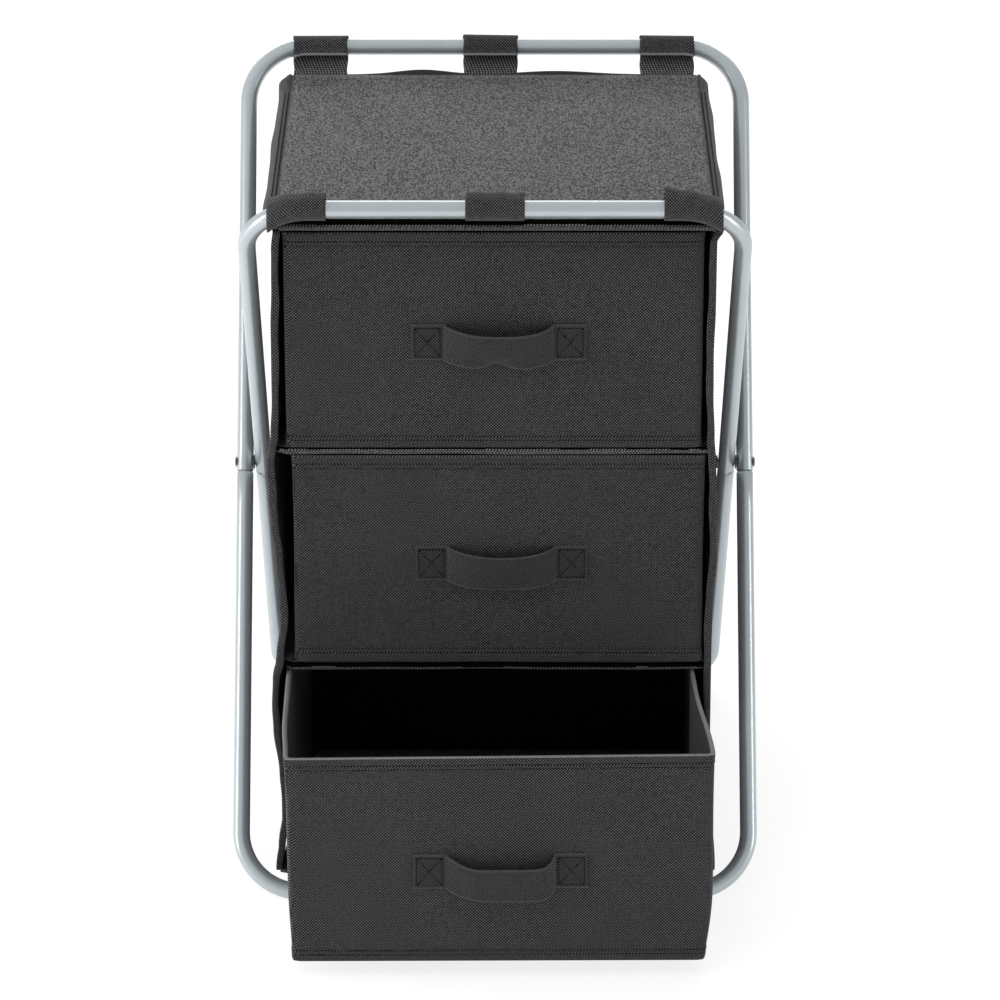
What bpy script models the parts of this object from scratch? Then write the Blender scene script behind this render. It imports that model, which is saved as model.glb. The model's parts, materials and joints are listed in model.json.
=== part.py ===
"""A folding drawer tower: two crossed tube frames carry a cloth organiser.

Each frame is a loop of steel tube, an upper U sleeved over a lower U. The
narrower loop turns inside the wider one on two rivets, so the frames stand as
an X and fold flat. The organiser hangs from the two top bars by six cloth
tabs, and three cloth drawers with webbing handles slide on its shelves. The
bottom drawer is pulled part of the way out.

Metres, +Z up, the drawers face -Y. The floor is z = 0.
"""

import math

import bmesh
import bpy
import numpy as np
from mathutils import Matrix, Vector

# Steel tube and the two loops, measured between tube centres
TUBE_DIAMETER = 0.014
TUBE_WALL = 0.0012
TUBE_SIDES = 16
BEND_RADIUS = 0.050
BEND_STEPS = 6
OUTER_LOOP_WIDTH = 0.420

# Sleeve joint of each loop, measured down the leg from the pivot
SLEEVE_PAST_PIVOT = 0.008
PLUG_PAST_PIVOT = 0.028
SHOULDER_LENGTH = 0.0015

# Pivot rivets
RIVET_DIAMETER = 0.005
RIVET_HEAD_DIAMETER = 0.0086
RIVET_HEAD_HEIGHT = 0.0014
CAP_DIAMETER = 0.0110
CAP_HEIGHT = 0.0026
CAP_BORE_DEPTH = 0.0014
DOME_RIM_SHARE = 0.35
DOME_STEPS = 4
WASHER_DIAMETER = 0.0120
WASHER_THICKNESS = 0.0008
ROUND_SIDES = 20

# Clearances: pieces that touch on the real object, and how far a cutter overruns
SEAT_GAP = 0.0003
OVERRUN = 0.002

# Cloth organiser, and how far the frame's legs and bars stay clear of it
ORGANISER_DEPTH = 0.372
CLOTH = 0.0012
BOARD = 0.0025
FLOOR_TOP = 0.0177
LEG_CLEARANCE = 0.0121
BARS_PAST_ORGANISER = 0.018
BARS_ABOVE_ORGANISER = 0.0125
SIDE_HEM_BELOW = 0.0015
SIDE_BELLY = 0.0055
BACK_BELLY = 0.0020
BINDING_FACE = 0.0048
BINDING_LEG = 0.0090
TOP_BINDING_FACE = 0.0085
TOP_EDGE_WIDTH = 0.0065
TOP_EDGE_DROP = 0.0033
NOSE_STEPS = 4
BACK_COLUMNS = 4

# Tabs that hang the organiser from the bars
TAB_WIDTH = 0.046
TAB_CLOTH = 0.0010
FRONT_TAB_FROM_LEG = 0.0406
REAR_TAB_FROM_LEG = 0.063
FRONT_TAB_LAP = 0.022
REAR_TAB_LAP = 0.016
REAR_TAB_TAIL = 0.0075
TAB_BEND_EASE = 0.0038
TAB_COLUMNS = 6
FRONT_WRAP_STEPS = 9
REAR_WRAP_STEPS = 11

# Drawers, and the play round them in their bays
DRAWER_HEIGHT = 0.1815
DRAWER_SIDE_PLAY = 0.009
DRAWER_END_PLAY = 0.007
BOTTOM_HEADROOM = 0.0035
MIDDLE_HEADROOM = 0.0017
TOP_HEADROOM = 0.0012
DRAWER_WALL = 0.0030
DRAWER_CORNER = 0.0070
CORNER_STEPS = 3
BASE_BOARD = 0.0020
BASE_BOARD_PLAY = 0.0020
BOTTOM_DRAWER_OUT = 0.149
TOP_DRAWER_ASIDE = -0.0010
LOWER_DRAWERS_ASIDE = 0.0028

# Webbing handles
HANDLE_WIDTH = 0.030
HANDLE_LENGTH = 0.139
HANDLE_SPAN = 0.0865
HANDLE_CLOTH = 0.0014
HANDLE_BOW = 0.0150
HANDLE_SAG = 0.0040
HANDLE_STEPS = 10
TOP_HANDLE_HEIGHT = 0.0905
MIDDLE_HANDLE_HEIGHT = 0.0885
BOTTOM_HANDLE_HEIGHT = 0.0815

# The two sides of the tower, and the three places across it
SIDES = (("left", -1), ("right", 1))
PLACES = (("left", -1), ("centre", 0), ("right", 1))

# Belly of each side panel within a cubby: (height share, belly share)
LEFT_BELLY_SHARES = (
    ((0.0, 0.0), (0.30, 0.35), (0.62, 0.10), (0.86, 1.0), (1.0, 0.0)),
    ((0.0, 0.0), (0.25, 0.45), (0.60, 0.25), (0.85, 0.40), (1.0, 0.0)),
    ((0.0, 0.0), (0.20, 0.60), (0.55, 0.30), (0.85, 0.10), (1.0, 0.0)),
)
RIGHT_BELLY_SHARES = (
    ((0.0, 0.0), (0.25, 0.70), (0.60, 0.30), (0.85, 0.20), (1.0, 0.0)),
    ((0.0, 0.0), (0.25, 0.35), (0.55, 0.70), (0.85, 0.30), (1.0, 0.0)),
    ((0.0, 0.0), (0.30, 0.10), (0.65, 0.05), (0.85, 0.10), (1.0, 0.0)),
)

# Rows of the back panel within a cubby, as shares of its height
BACK_ROW_SHARES = (0.0, 0.15, 0.5, 0.85)

# As a rear tab turns with the organiser, how far it stays clear of the bar's
# bend, as a share of the bend's drop
REAR_TAB_TURN_SHARE = 0.85

# A front tab's slack run behind the bar: shares of the lap, then of the drop
# from the bar's top to the lap
FRONT_TAB_SLACK_SHARES = ((0.05, 0.08), (0.30, 0.30), (0.52, 1.0), (1.0, 1.0))

# Sizes that follow from the ones above
TUBE_RADIUS = TUBE_DIAMETER / 2
FACET_ANGLE = 2 * math.pi / TUBE_SIDES
FLAT_RADIUS = TUBE_RADIUS * math.cos(FACET_ANGLE / 2)
LOOP_GAP = WASHER_THICKNESS + 2 * SEAT_GAP
INNER_LOOP_WIDTH = OUTER_LOOP_WIDTH - 2 * (TUBE_DIAMETER + LOOP_GAP)
PLUG_RADIUS = TUBE_RADIUS - TUBE_WALL - SEAT_GAP
HOLE_RADIUS = RIVET_DIAMETER / 2 + SEAT_GAP
SLEEVE_BOARD = BOARD + 2 * SEAT_GAP + 2 * CLOTH
HALF_ORGANISER = (INNER_LOOP_WIDTH - TUBE_DIAMETER) / 2 - LEG_CLEARANCE
HALF_DEPTH = ORGANISER_DEPTH / 2
INSIDE_HALF_WIDTH = HALF_ORGANISER - CLOTH - SEAT_GAP
DRAWER_WIDTH = 2 * (INSIDE_HALF_WIDTH - DRAWER_SIDE_PLAY)
DRAWER_DEPTH = ORGANISER_DEPTH - DRAWER_END_PLAY
BAY_STEP = SEAT_GAP + DRAWER_HEIGHT + SLEEVE_BOARD
LOWER_SHELF_TOP = FLOOR_TOP + BAY_STEP + BOTTOM_HEADROOM
UPPER_SHELF_TOP = LOWER_SHELF_TOP + BAY_STEP + MIDDLE_HEADROOM
ORGANISER_TOP = UPPER_SHELF_TOP + BAY_STEP + TOP_HEADROOM
SHELF_TOPS = (FLOOR_TOP, LOWER_SHELF_TOP, UPPER_SHELF_TOP, ORGANISER_TOP)
HALF_STANCE = HALF_DEPTH + BARS_PAST_ORGANISER
BAR_SPACING = ORGANISER_TOP + BARS_ABOVE_ORGANISER
PIVOT_HEIGHT = FLAT_RADIUS + BAR_SPACING / 2
LOOP_REACH = math.hypot(HALF_STANCE, BAR_SPACING / 2)
LOOP_TILT = math.atan2(HALF_STANCE, BAR_SPACING / 2)
FRONT_TAB_SPREAD = INNER_LOOP_WIDTH / 2 - FRONT_TAB_FROM_LEG
REAR_TAB_SPREAD = OUTER_LOOP_WIDTH / 2 - REAR_TAB_FROM_LEG
FRONT_REACH = (
    HALF_DEPTH + BOTTOM_DRAWER_OUT + SEAT_GAP + HANDLE_CLOTH + HANDLE_BOW
)
REAR_REACH = HALF_STANCE + TUBE_RADIUS + SEAT_GAP + TAB_CLOTH
ORIGIN_SHIFT = (FRONT_REACH - REAR_REACH) / 2

# Each drawer: name, the shelf it stands on, how far out, how far aside, handle height
DRAWERS = (
    ("top", UPPER_SHELF_TOP, 0.0, TOP_DRAWER_ASIDE, TOP_HANDLE_HEIGHT),
    ("middle", LOWER_SHELF_TOP, 0.0, LOWER_DRAWERS_ASIDE, MIDDLE_HANDLE_HEIGHT),
    ("bottom", FLOOR_TOP, BOTTOM_DRAWER_OUT, LOWER_DRAWERS_ASIDE, BOTTOM_HANDLE_HEIGHT),
)

STEEL = ("powder coated steel", (0.50, 0.53, 0.55), 0.35, 0.9)
ZINC = ("plated rivet", (0.30, 0.31, 0.32), 0.40, 0.9)
NYLON = ("black washer", (0.03, 0.03, 0.03), 0.60, 0.0)
BLACK_CLOTH = ("organiser cloth", (0.045, 0.045, 0.047), 0.95, 0.0)
TOP_CLOTH = ("speckled top cloth", (0.13, 0.13, 0.13), 0.95, 0.0)
DRAWER_CLOTH = ("drawer cloth", (0.035, 0.035, 0.037), 0.95, 0.0)
WEBBING = ("webbing", (0.05, 0.05, 0.052), 0.90, 0.0)
GREYBOARD = ("grey board", (0.35, 0.33, 0.30), 0.90, 0.0)


# Scene and object helpers


def clear_scene():
    """Remove what the scene holds, and nothing else."""
    for leftover in list(bpy.data.objects):
        bpy.data.objects.remove(leftover, do_unlink=True)


def make_collection(name):
    """A collection of its own under the scene."""
    collection = bpy.data.collections.new(name)
    bpy.context.scene.collection.children.link(collection)
    return collection


def make_material(node, look):
    """A Principled material for one piece, named for the piece."""
    words, colour, roughness, metallic = look
    material = bpy.data.materials.new(f"{node} {words}")
    material.use_nodes = True
    shader = material.node_tree.nodes["Principled BSDF"]
    shader.inputs["Base Color"].default_value = (*colour, 1.0)
    shader.inputs["Roughness"].default_value = roughness
    shader.inputs["Metallic"].default_value = metallic
    return material


def add_piece(name, mesh, parent, look, smooth_angle=None):
    """Put a mesh in the tower as one named piece under an empty."""
    piece = bpy.data.objects.new(name, mesh)
    tower.objects.link(piece)
    mesh.materials.clear()
    mesh.materials.append(make_material(name, look))
    if smooth_angle:
        mesh.shade_smooth()
        mesh.set_sharp_from_angle(angle=smooth_angle)
    piece.parent = parent
    return piece


def add_empty(name, place, parent=None):
    """A named point that pieces hang from, such as a joint's axis."""
    empty = bpy.data.objects.new(name, None)
    empty.empty_display_size = TUBE_DIAMETER
    tower.objects.link(empty)
    empty.location = place
    empty.parent = parent
    return empty


def mesh_of(shape, name):
    """Close a bmesh into a mesh datablock."""
    mesh = bpy.data.meshes.new(name)
    shape.to_mesh(mesh)
    shape.free()
    return mesh


def box_mesh(name, low, high):
    """A block between two corners."""
    shape = bmesh.new()
    bmesh.ops.create_cube(shape, size=1.0)
    size = Vector(high) - Vector(low)
    middle = (Vector(high) + Vector(low)) / 2
    bmesh.ops.scale(shape, vec=size, verts=shape.verts)
    bmesh.ops.translate(shape, vec=middle, verts=shape.verts)
    return mesh_of(shape, name)


def add_solidify(piece, thickness, offset):
    """Give an open surface its thickness; offset 0 keeps it in the middle."""
    wall = piece.modifiers.new("thickness", "SOLIDIFY")
    wall.thickness = thickness
    wall.offset = offset
    wall.use_even_offset = True
    return wall


def formed_cloth(name, place, columns, rows, thickness, parent, look):
    """A sheet of cloth: each point of a grid goes where place(u, v) says.

    u runs across the sheet and v along it, both from 0 to 1, and the cloth's
    thickness lies half on each side of the surface.
    """
    shape = bmesh.new()
    bmesh.ops.create_grid(shape, x_segments=columns, y_segments=rows, size=0.5)
    for vertex in shape.verts:
        vertex.co = Vector(place(vertex.co.x + 0.5, vertex.co.y + 0.5))
    bmesh.ops.recalc_face_normals(shape, faces=shape.faces)
    piece = add_piece(name, mesh_of(shape, name), parent, look, math.radians(40))
    add_solidify(piece, thickness, 0.0)
    return piece


def arc_points(centre, radius, first, last, steps):
    """Points on an arc in the y-z plane; angles from +Y towards +Z."""
    return [
        (centre[0] + radius * math.cos(angle), centre[1] + radius * math.sin(angle))
        for angle in np.linspace(first, last, steps + 1)
    ]


# Tube frames


def u_path(half_width, leg_start):
    """A U in the loop's own plane: legs along +Y from leg_start to the bar."""
    corner = LOOP_REACH - BEND_RADIUS
    across = half_width - BEND_RADIUS
    points = [(-half_width, leg_start)]
    for side, first in ((-1, math.pi), (1, math.pi / 2)):
        for step in range(BEND_STEPS + 1):
            angle = first - step * (math.pi / 2) / BEND_STEPS
            points.append(
                (
                    side * across + BEND_RADIUS * math.cos(angle),
                    corner + BEND_RADIUS * math.sin(angle),
                )
            )
    points.append((half_width, leg_start))
    return points


def facet_turn(tilt):
    """How far the tube's facets turn so that one faces straight down.

    Facet middles lie half a facet from the loop's own plane and a facet
    apart, and the floor lies at the loop's tilt from that plane.
    """
    return tilt % FACET_ANGLE - FACET_ANGLE / 2


def add_tube(name, points, radii, turn, parent, matrix):
    """Bend a tube along points in a plane, as a curve, then make its wall."""
    curve = bpy.data.curves.new(name, "CURVE")
    curve.dimensions = "3D"
    curve.twist_mode = "Z_UP"
    curve.bevel_depth = TUBE_RADIUS
    curve.bevel_resolution = TUBE_SIDES // 2 - 2
    curve.use_fill_caps = False
    spline = curve.splines.new("POLY")
    spline.points.add(len(points) - 1)
    for knot, place, radius in zip(spline.points, points, radii):
        knot.co = (place[0], place[1], 0.0, 1.0)
        knot.radius = radius / TUBE_RADIUS
        knot.tilt = turn
    guide = bpy.data.objects.new(f"{name} path", curve)
    tower.objects.link(guide)
    depsgraph = bpy.context.evaluated_depsgraph_get()
    mesh = bpy.data.meshes.new_from_object(guide.evaluated_get(depsgraph))
    bpy.data.objects.remove(guide, do_unlink=True)
    shape = bmesh.new()
    shape.from_mesh(mesh)
    bmesh.ops.remove_doubles(shape, verts=shape.verts, dist=SEAT_GAP / 10)
    bmesh.ops.recalc_face_normals(shape, faces=shape.faces)
    shape.to_mesh(mesh)
    shape.free()
    mesh.transform(matrix)
    piece = add_piece(name, mesh, parent, STEEL, math.radians(30))
    add_solidify(piece, TUBE_WALL, -1.0)
    return piece


def add_cutter(name, mesh, parent):
    """A solid that only cuts others."""
    cutter = bpy.data.objects.new(name, mesh)
    cutters.objects.link(cutter)
    cutter.hide_render = True
    cutter.display_type = "WIRE"
    cutter.parent = parent
    return cutter


def cut(piece, cutter):
    """Take a cutter's shape out of a piece."""
    boolean = piece.modifiers.new("hole", "BOOLEAN")
    boolean.operation = "DIFFERENCE"
    boolean.solver = "EXACT"
    boolean.object = cutter


def add_loop(name, width, lean, parent, cutter):
    """One tube loop: an upper U, and a lower U plugged into its legs.

    lean is +1 where the top bar is at the rear and -1 where it is in front.
    """
    half = width / 2
    upper_frame = Matrix.Rotation(math.pi / 2 - lean * LOOP_TILT, 4, "X")
    lower_frame = Matrix.Rotation(-math.pi / 2 - lean * LOOP_TILT, 4, "X")

    upper_points = u_path(half, -SLEEVE_PAST_PIVOT)
    upper = add_tube(
        f"{name}_upper",
        upper_points,
        [TUBE_RADIUS] * len(upper_points),
        facet_turn(-lean * LOOP_TILT),
        parent,
        upper_frame,
    )
    cut(upper, cutter)

    shoulder = SLEEVE_PAST_PIVOT + SEAT_GAP
    body = u_path(half, shoulder + SHOULDER_LENGTH)
    plug = [(half, shoulder), (half, -PLUG_PAST_PIVOT)]
    lower_points = [(-x, y) for x, y in reversed(plug)] + body + plug
    narrow = [PLUG_RADIUS] * len(plug)
    lower = add_tube(
        f"{name}_lower",
        lower_points,
        narrow + [TUBE_RADIUS] * len(body) + narrow,
        facet_turn(lean * LOOP_TILT),
        parent,
        lower_frame,
    )
    cut(lower, cutter)


def turned_mesh(name, profile, side):
    """Turn a profile of (along, radius) points about the X axis.

    The profile runs from the outer end inwards, and side is -1 for the
    object's left, where it is mirrored.
    """
    shape = bmesh.new()
    ring = [shape.verts.new((side * along, radius, 0.0)) for along, radius in profile]
    for first, second in zip(ring, ring[1:]):
        shape.edges.new((first, second))
    bmesh.ops.spin(
        shape,
        geom=shape.verts[:] + shape.edges[:],
        axis=(1.0, 0.0, 0.0),
        cent=(0.0, 0.0, 0.0),
        steps=ROUND_SIDES,
        angle=2 * math.pi,
    )
    bmesh.ops.remove_doubles(shape, verts=shape.verts, dist=SEAT_GAP / 10)
    bmesh.ops.recalc_face_normals(shape, faces=shape.faces)
    return mesh_of(shape, name)


def dome(start, height, radius):
    """A profile from the tip of a low dome to its rim."""
    rim = height * DOME_RIM_SHARE
    points = []
    for step in range(DOME_STEPS + 1):
        angle = step * math.pi / 2 / DOME_STEPS
        along = start + rim + (height - rim) * math.cos(angle)
        points.append((along, radius * math.sin(angle)))
    return points


def add_pivots(parent):
    """Rivets through both loops, their caps inside and washers between."""
    outside = OUTER_LOOP_WIDTH / 2 + TUBE_RADIUS + SEAT_GAP
    inside = INNER_LOOP_WIDTH / 2 - TUBE_RADIUS - SEAT_GAP
    shank = RIVET_DIAMETER / 2
    shank_end = inside - CAP_BORE_DEPTH + SEAT_GAP
    bore = shank + SEAT_GAP
    between = OUTER_LOOP_WIDTH / 2 - TUBE_RADIUS - SEAT_GAP
    for label, side in SIDES:
        rivet = dome(outside, RIVET_HEAD_HEIGHT, RIVET_HEAD_DIAMETER / 2) + [
            (outside, RIVET_HEAD_DIAMETER / 2),
            (outside, shank),
            (shank_end, shank),
            (shank_end, 0.0),
        ]
        mesh = turned_mesh(f"pivot_rivet_{label}", rivet, side)
        add_piece(f"pivot_rivet_{label}", mesh, parent, ZINC, math.radians(40))

        cap = [
            (2 * inside - along, radius)
            for along, radius in dome(inside, CAP_HEIGHT, CAP_DIAMETER / 2)
        ]
        cap += [
            (inside, CAP_DIAMETER / 2),
            (inside, bore),
            (inside - CAP_BORE_DEPTH, bore),
            (inside - CAP_BORE_DEPTH, 0.0),
        ]
        mesh = turned_mesh(f"pivot_cap_{label}", cap, side)
        add_piece(f"pivot_cap_{label}", mesh, parent, ZINC, math.radians(40))

        washer = [
            (between, bore),
            (between, WASHER_DIAMETER / 2),
            (between - WASHER_THICKNESS, WASHER_DIAMETER / 2),
            (between - WASHER_THICKNESS, bore),
            (between, bore),
        ]
        mesh = turned_mesh(f"pivot_washer_{label}", washer, side)
        add_piece(f"pivot_washer_{label}", mesh, parent, NYLON, math.radians(40))


# Cloth organiser


def top_surface(across):
    """Height of the top panel: flat over its board, then sloping to the sides."""
    past = max(0.0, abs(across) - (INSIDE_HALF_WIDTH - TOP_EDGE_WIDTH))
    return ORGANISER_TOP - TOP_EDGE_DROP * past / TOP_EDGE_WIDTH


def sleeve_section(low, high):
    """Middle of a sleeve's cloth: under the board, round the front edge, over."""
    nose = (high - low) / 2
    centre = (-HALF_DEPTH + CLOTH / 2 + nose, low + nose)
    turn = arc_points(centre, nose, -math.pi / 2, -3 * math.pi / 2, NOSE_STEPS)
    return [(HALF_DEPTH, low), *turn, (HALF_DEPTH, high)]


def add_sleeve(name, top, parent, look, edge_width=0.0):
    """A shelf: cloth folded round its front edge, with a board in it.

    Where edge_width is given, the board ends that far short of each side, and
    the two layers of cloth slope down past it to their seam.
    """
    low = top - SLEEVE_BOARD + CLOTH / 2
    high = top - CLOTH / 2
    section = sleeve_section(low, high)
    flat = INSIDE_HALF_WIDTH - edge_width
    sections = [(-flat, section), (flat, section)]
    if edge_width:
        seam = INSIDE_HALF_WIDTH - SEAT_GAP
        seam_height = top_surface(seam) - CLOTH / 2
        edge = sleeve_section(seam_height - CLOTH - 2 * SEAT_GAP, seam_height)
        sections = [(-seam, edge), *sections, (seam, edge)]
    columns = len(sections) - 1
    rows = len(section) - 1

    def place(u, v):
        across, points = sections[round(u * columns)]
        depth, height = points[round(v * rows)]
        return (across, depth, height)

    formed_cloth(name, place, columns, rows, CLOTH, parent, look)
    middle = top - SLEEVE_BOARD / 2
    nose = SLEEVE_BOARD / 2
    board = box_mesh(
        f"{name}_board",
        (-flat, -HALF_DEPTH + nose, middle - BOARD / 2),
        (flat, HALF_DEPTH, middle + BOARD / 2),
    )
    add_piece(f"{name}_board", board, parent, GREYBOARD)


def belly(height, tables):
    """How far a side panel stands out at a height, smooth and 0 at shelves."""
    for low, high, table in zip(SHELF_TOPS, SHELF_TOPS[1:], tables):
        if low <= height <= high:
            share = (height - low) / (high - low)
            for (start, first), (end, last) in zip(table, table[1:]):
                if start <= share <= end:
                    turn = (share - start) / (end - start)
                    blend = (1 - math.cos(math.pi * turn)) / 2
                    return SIDE_BELLY * (first + (last - first) * blend)
    return 0.0


def side_heights(tables):
    """Heights for the rows of a side panel: ends, shelves and belly points."""
    bottom = FLOOR_TOP - SLEEVE_BOARD - SIDE_HEM_BELOW
    heights = [bottom]
    for low, high, table in zip(SHELF_TOPS, SHELF_TOPS[1:], tables):
        marks = [low + (high - low) * share for share, _ in table[:-1]]
        for first, second in zip(marks, marks[1:] + [high]):
            heights += [first, (first + second) / 2]
    return heights + [top_surface(HALF_ORGANISER)]


def add_side_panel(label, side, tables, parent):
    """A side panel of cloth with its belly, and the tape that binds its front."""
    heights = side_heights(tables)
    rows = len(heights) - 1

    def panel(u, v):
        height = heights[round(v * rows)]
        across = HALF_ORGANISER - CLOTH / 2 + belly(height, tables)
        return (side * across, (2 * u - 1) * HALF_DEPTH, height)

    formed_cloth(f"side_panel_{label}", panel, 1, rows, CLOTH, parent, BLACK_CLOTH)

    front = -HALF_DEPTH - SEAT_GAP - CLOTH / 2
    outer = HALF_ORGANISER + SEAT_GAP + CLOTH / 2
    corner_share = (0.0, 0.5, 1.0)

    under_top = ORGANISER_TOP - SLEEVE_BOARD
    bound = [height for height in heights if height < under_top] + [under_top]
    steps = len(bound) - 1

    def binding(u, v):
        height = bound[round(v * steps)]
        out = belly(height, tables)
        column = corner_share.index(round(u, 1))
        across = (outer, outer, outer - BINDING_FACE)[column]
        depth = (front + BINDING_LEG, front, front)[column]
        return (side * (across + out), depth, height)

    name = f"front_binding_{label}"
    formed_cloth(name, binding, 2, steps, CLOTH, parent, BLACK_CLOTH)

    lap_end = -HALF_DEPTH + FRONT_TAB_LAP + 2 * SEAT_GAP

    def top_binding(u, v):
        column = corner_share.index(round(u, 1))
        across = (outer, outer, outer - TOP_BINDING_FACE)[column]
        height = top_surface(across) + SEAT_GAP + CLOTH / 2
        height -= (BINDING_LEG, 0.0, 0.0)[column]
        return (side * across, lap_end + (HALF_DEPTH - lap_end) * v, height)

    name = f"top_binding_{label}"
    formed_cloth(name, top_binding, 2, 1, CLOTH, parent, BLACK_CLOTH)


def add_back_panel(parent):
    """The back sheet, sewn along the shelves and a little full between them."""
    heights = [FLOOR_TOP - SLEEVE_BOARD]
    for low, high in zip(SHELF_TOPS, SHELF_TOPS[1:]):
        heights += [low + (high - low) * share for share in BACK_ROW_SHARES]
    heights += [ORGANISER_TOP]
    rows = len(heights) - 1

    def place(u, v):
        height = heights[round(v * rows)]
        full = 0.0
        for low, high in zip(SHELF_TOPS, SHELF_TOPS[1:]):
            if low < height < high:
                full = math.sin(math.pi * (height - low) / (high - low)) ** 2
        full *= BACK_BELLY * math.sin(math.pi * u)
        depth = HALF_DEPTH + SEAT_GAP + CLOTH / 2 + full
        return ((2 * u - 1) * HALF_ORGANISER, depth, height)

    formed_cloth("back_panel", place, BACK_COLUMNS, rows, CLOTH, parent, BLACK_CLOTH)


# Tabs round the bars


def bar_centre(across, width, lean):
    """Where a top bar's centre is at a distance across, bend included.

    It gives y, z, and how much longer the tube's section is there.
    """
    past = max(0.0, abs(across) - (width / 2 - BEND_RADIUS))
    slope = math.sqrt(1 - (past / BEND_RADIUS) ** 2)
    drop = BEND_RADIUS * (1 - slope)
    reach = LOOP_REACH - drop
    depth = lean * reach * math.sin(LOOP_TILT)
    height = PIVOT_HEIGHT + reach * math.cos(LOOP_TILT)
    return depth, height, 1 / slope


def tangent_angle(point, centre, radius, turn):
    """Angle round a circle where a line from a point just touches it.

    turn is +1 or -1 for the two lines that do.
    """
    run = math.dist(point, centre)
    towards = math.atan2(point[1] - centre[1], point[0] - centre[0])
    return towards + turn * math.acos(radius / run)


def front_tab_route(across):
    """A front tab at a distance across: lap, round the bar, slack, lap.

    Its lap stays level until a whole column of it lies past the panel's flat.
    """
    depth, height, longer = bar_centre(across, INNER_LOOP_WIDTH, -1)
    half = TAB_CLOTH / 2
    radius = TUBE_RADIUS * longer + SEAT_GAP + half + TAB_BEND_EASE * (longer - 1)
    column_in = abs(across) - TAB_WIDTH / TAB_COLUMNS
    sloping = top_surface(column_in) < ORGANISER_TOP
    lap = top_surface(across) if sloping else ORGANISER_TOP
    lap += SEAT_GAP + half
    edge = -HALF_DEPTH
    lap_end = edge + FRONT_TAB_LAP
    start = tangent_angle((edge, lap), (depth, height), radius, -1) % (2 * math.pi)
    points = [(lap_end, lap), (edge, lap)]
    points += arc_points((depth, height), radius, start, math.pi / 2, FRONT_WRAP_STEPS)
    over = lap + TAB_CLOTH + SEAT_GAP
    crown = height + radius
    for along, fall in FRONT_TAB_SLACK_SHARES:
        points.append((edge + FRONT_TAB_LAP * along, crown + (over - crown) * fall))
    return points


def rear_tab_route(across):
    """A rear tab: up the back, behind the bar, over it, tail in front."""
    depth, height, longer = bar_centre(across, OUTER_LOOP_WIDTH, 1)
    half = TAB_CLOTH / 2
    drop = LOOP_REACH - math.hypot(depth, height - PIVOT_HEIGHT)
    radius = TUBE_RADIUS * longer + SEAT_GAP + half + REAR_TAB_TURN_SHARE * drop
    back = HALF_DEPTH + 2 * SEAT_GAP + CLOTH + half
    top = (back, ORGANISER_TOP)
    start = tangent_angle(top, (depth, height), radius, 1)
    finish = tangent_angle(top, (depth, height), radius, -1) % (2 * math.pi)
    touch = arc_points((depth, height), radius, finish, finish, 1)[0]
    run = math.dist(touch, top)
    tail_share = REAR_TAB_TAIL / run
    tail = [touch[n] + (top[n] - touch[n]) * tail_share for n in range(2)]
    points = [(back, ORGANISER_TOP - REAR_TAB_LAP), top]
    points += arc_points((depth, height), radius, start, finish, REAR_WRAP_STEPS)
    return points + [tuple(tail)]


def add_tabs(route, label, spread, parent):
    """Three tabs of one kind, each following the bar's bend where it has one."""
    rows = len(route(0.0)) - 1
    for place, side in PLACES:
        centre = side * spread

        def at(u, v, centre=centre):
            across = centre + (u - 0.5) * TAB_WIDTH
            points = route(across)
            depth, height = points[round(v * rows)]
            return (across, depth, height)

        name = f"{label}_tab_{place}"
        formed_cloth(name, at, TAB_COLUMNS, rows, TAB_CLOTH, parent, BLACK_CLOTH)


# Drawers


def add_drawer_shell(name, parent):
    """An open box of stiffened cloth with round upright corners and a hem."""
    shape = bmesh.new()
    bmesh.ops.create_cube(shape, size=1.0)
    size = Vector((DRAWER_WIDTH, DRAWER_DEPTH, DRAWER_HEIGHT))
    bmesh.ops.scale(shape, vec=size, verts=shape.verts)
    middle = Vector((0.0, DRAWER_DEPTH / 2, DRAWER_HEIGHT / 2))
    bmesh.ops.translate(shape, vec=middle, verts=shape.verts)
    upright = [
        edge
        for edge in shape.edges
        if abs(edge.verts[0].co.z - edge.verts[1].co.z) > DRAWER_HEIGHT / 2
    ]
    bmesh.ops.bevel(
        shape,
        geom=upright,
        offset=DRAWER_CORNER,
        segments=CORNER_STEPS,
        profile=0.5,
        affect="EDGES",
    )
    lid = [face for face in shape.faces if face.normal.z > 0.5]
    bmesh.ops.delete(shape, geom=lid, context="FACES")
    mesh = mesh_of(shape, name)
    piece = add_piece(name, mesh, parent, DRAWER_CLOTH, math.radians(40))
    add_solidify(piece, DRAWER_WALL, -1.0)
    return piece


def add_handle(name, height, parent):
    """A webbing strap sewn down at both ends and bowed out between them."""
    half_span = HANDLE_SPAN / 2
    half_length = HANDLE_LENGTH / 2
    turns = np.linspace(-math.pi / 2, math.pi / 2, HANDLE_STEPS + 1)
    marks = [-half_length, *(half_span * math.sin(turn) for turn in turns), half_length]
    rows = len(marks) - 1
    flat = -SEAT_GAP - HANDLE_CLOTH / 2

    def place(u, v):
        along = marks[round(v * rows)]
        rise = max(0.0, math.cos(math.pi * along / HANDLE_SPAN))
        if abs(along) >= half_span:
            rise = 0.0
        bow = HANDLE_BOW * math.sqrt(rise)
        sag = HANDLE_SAG * rise
        return (along, flat - bow, height + (u - 0.5) * HANDLE_WIDTH - sag)

    formed_cloth(name, place, 1, rows, HANDLE_CLOTH, parent, WEBBING)


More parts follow.
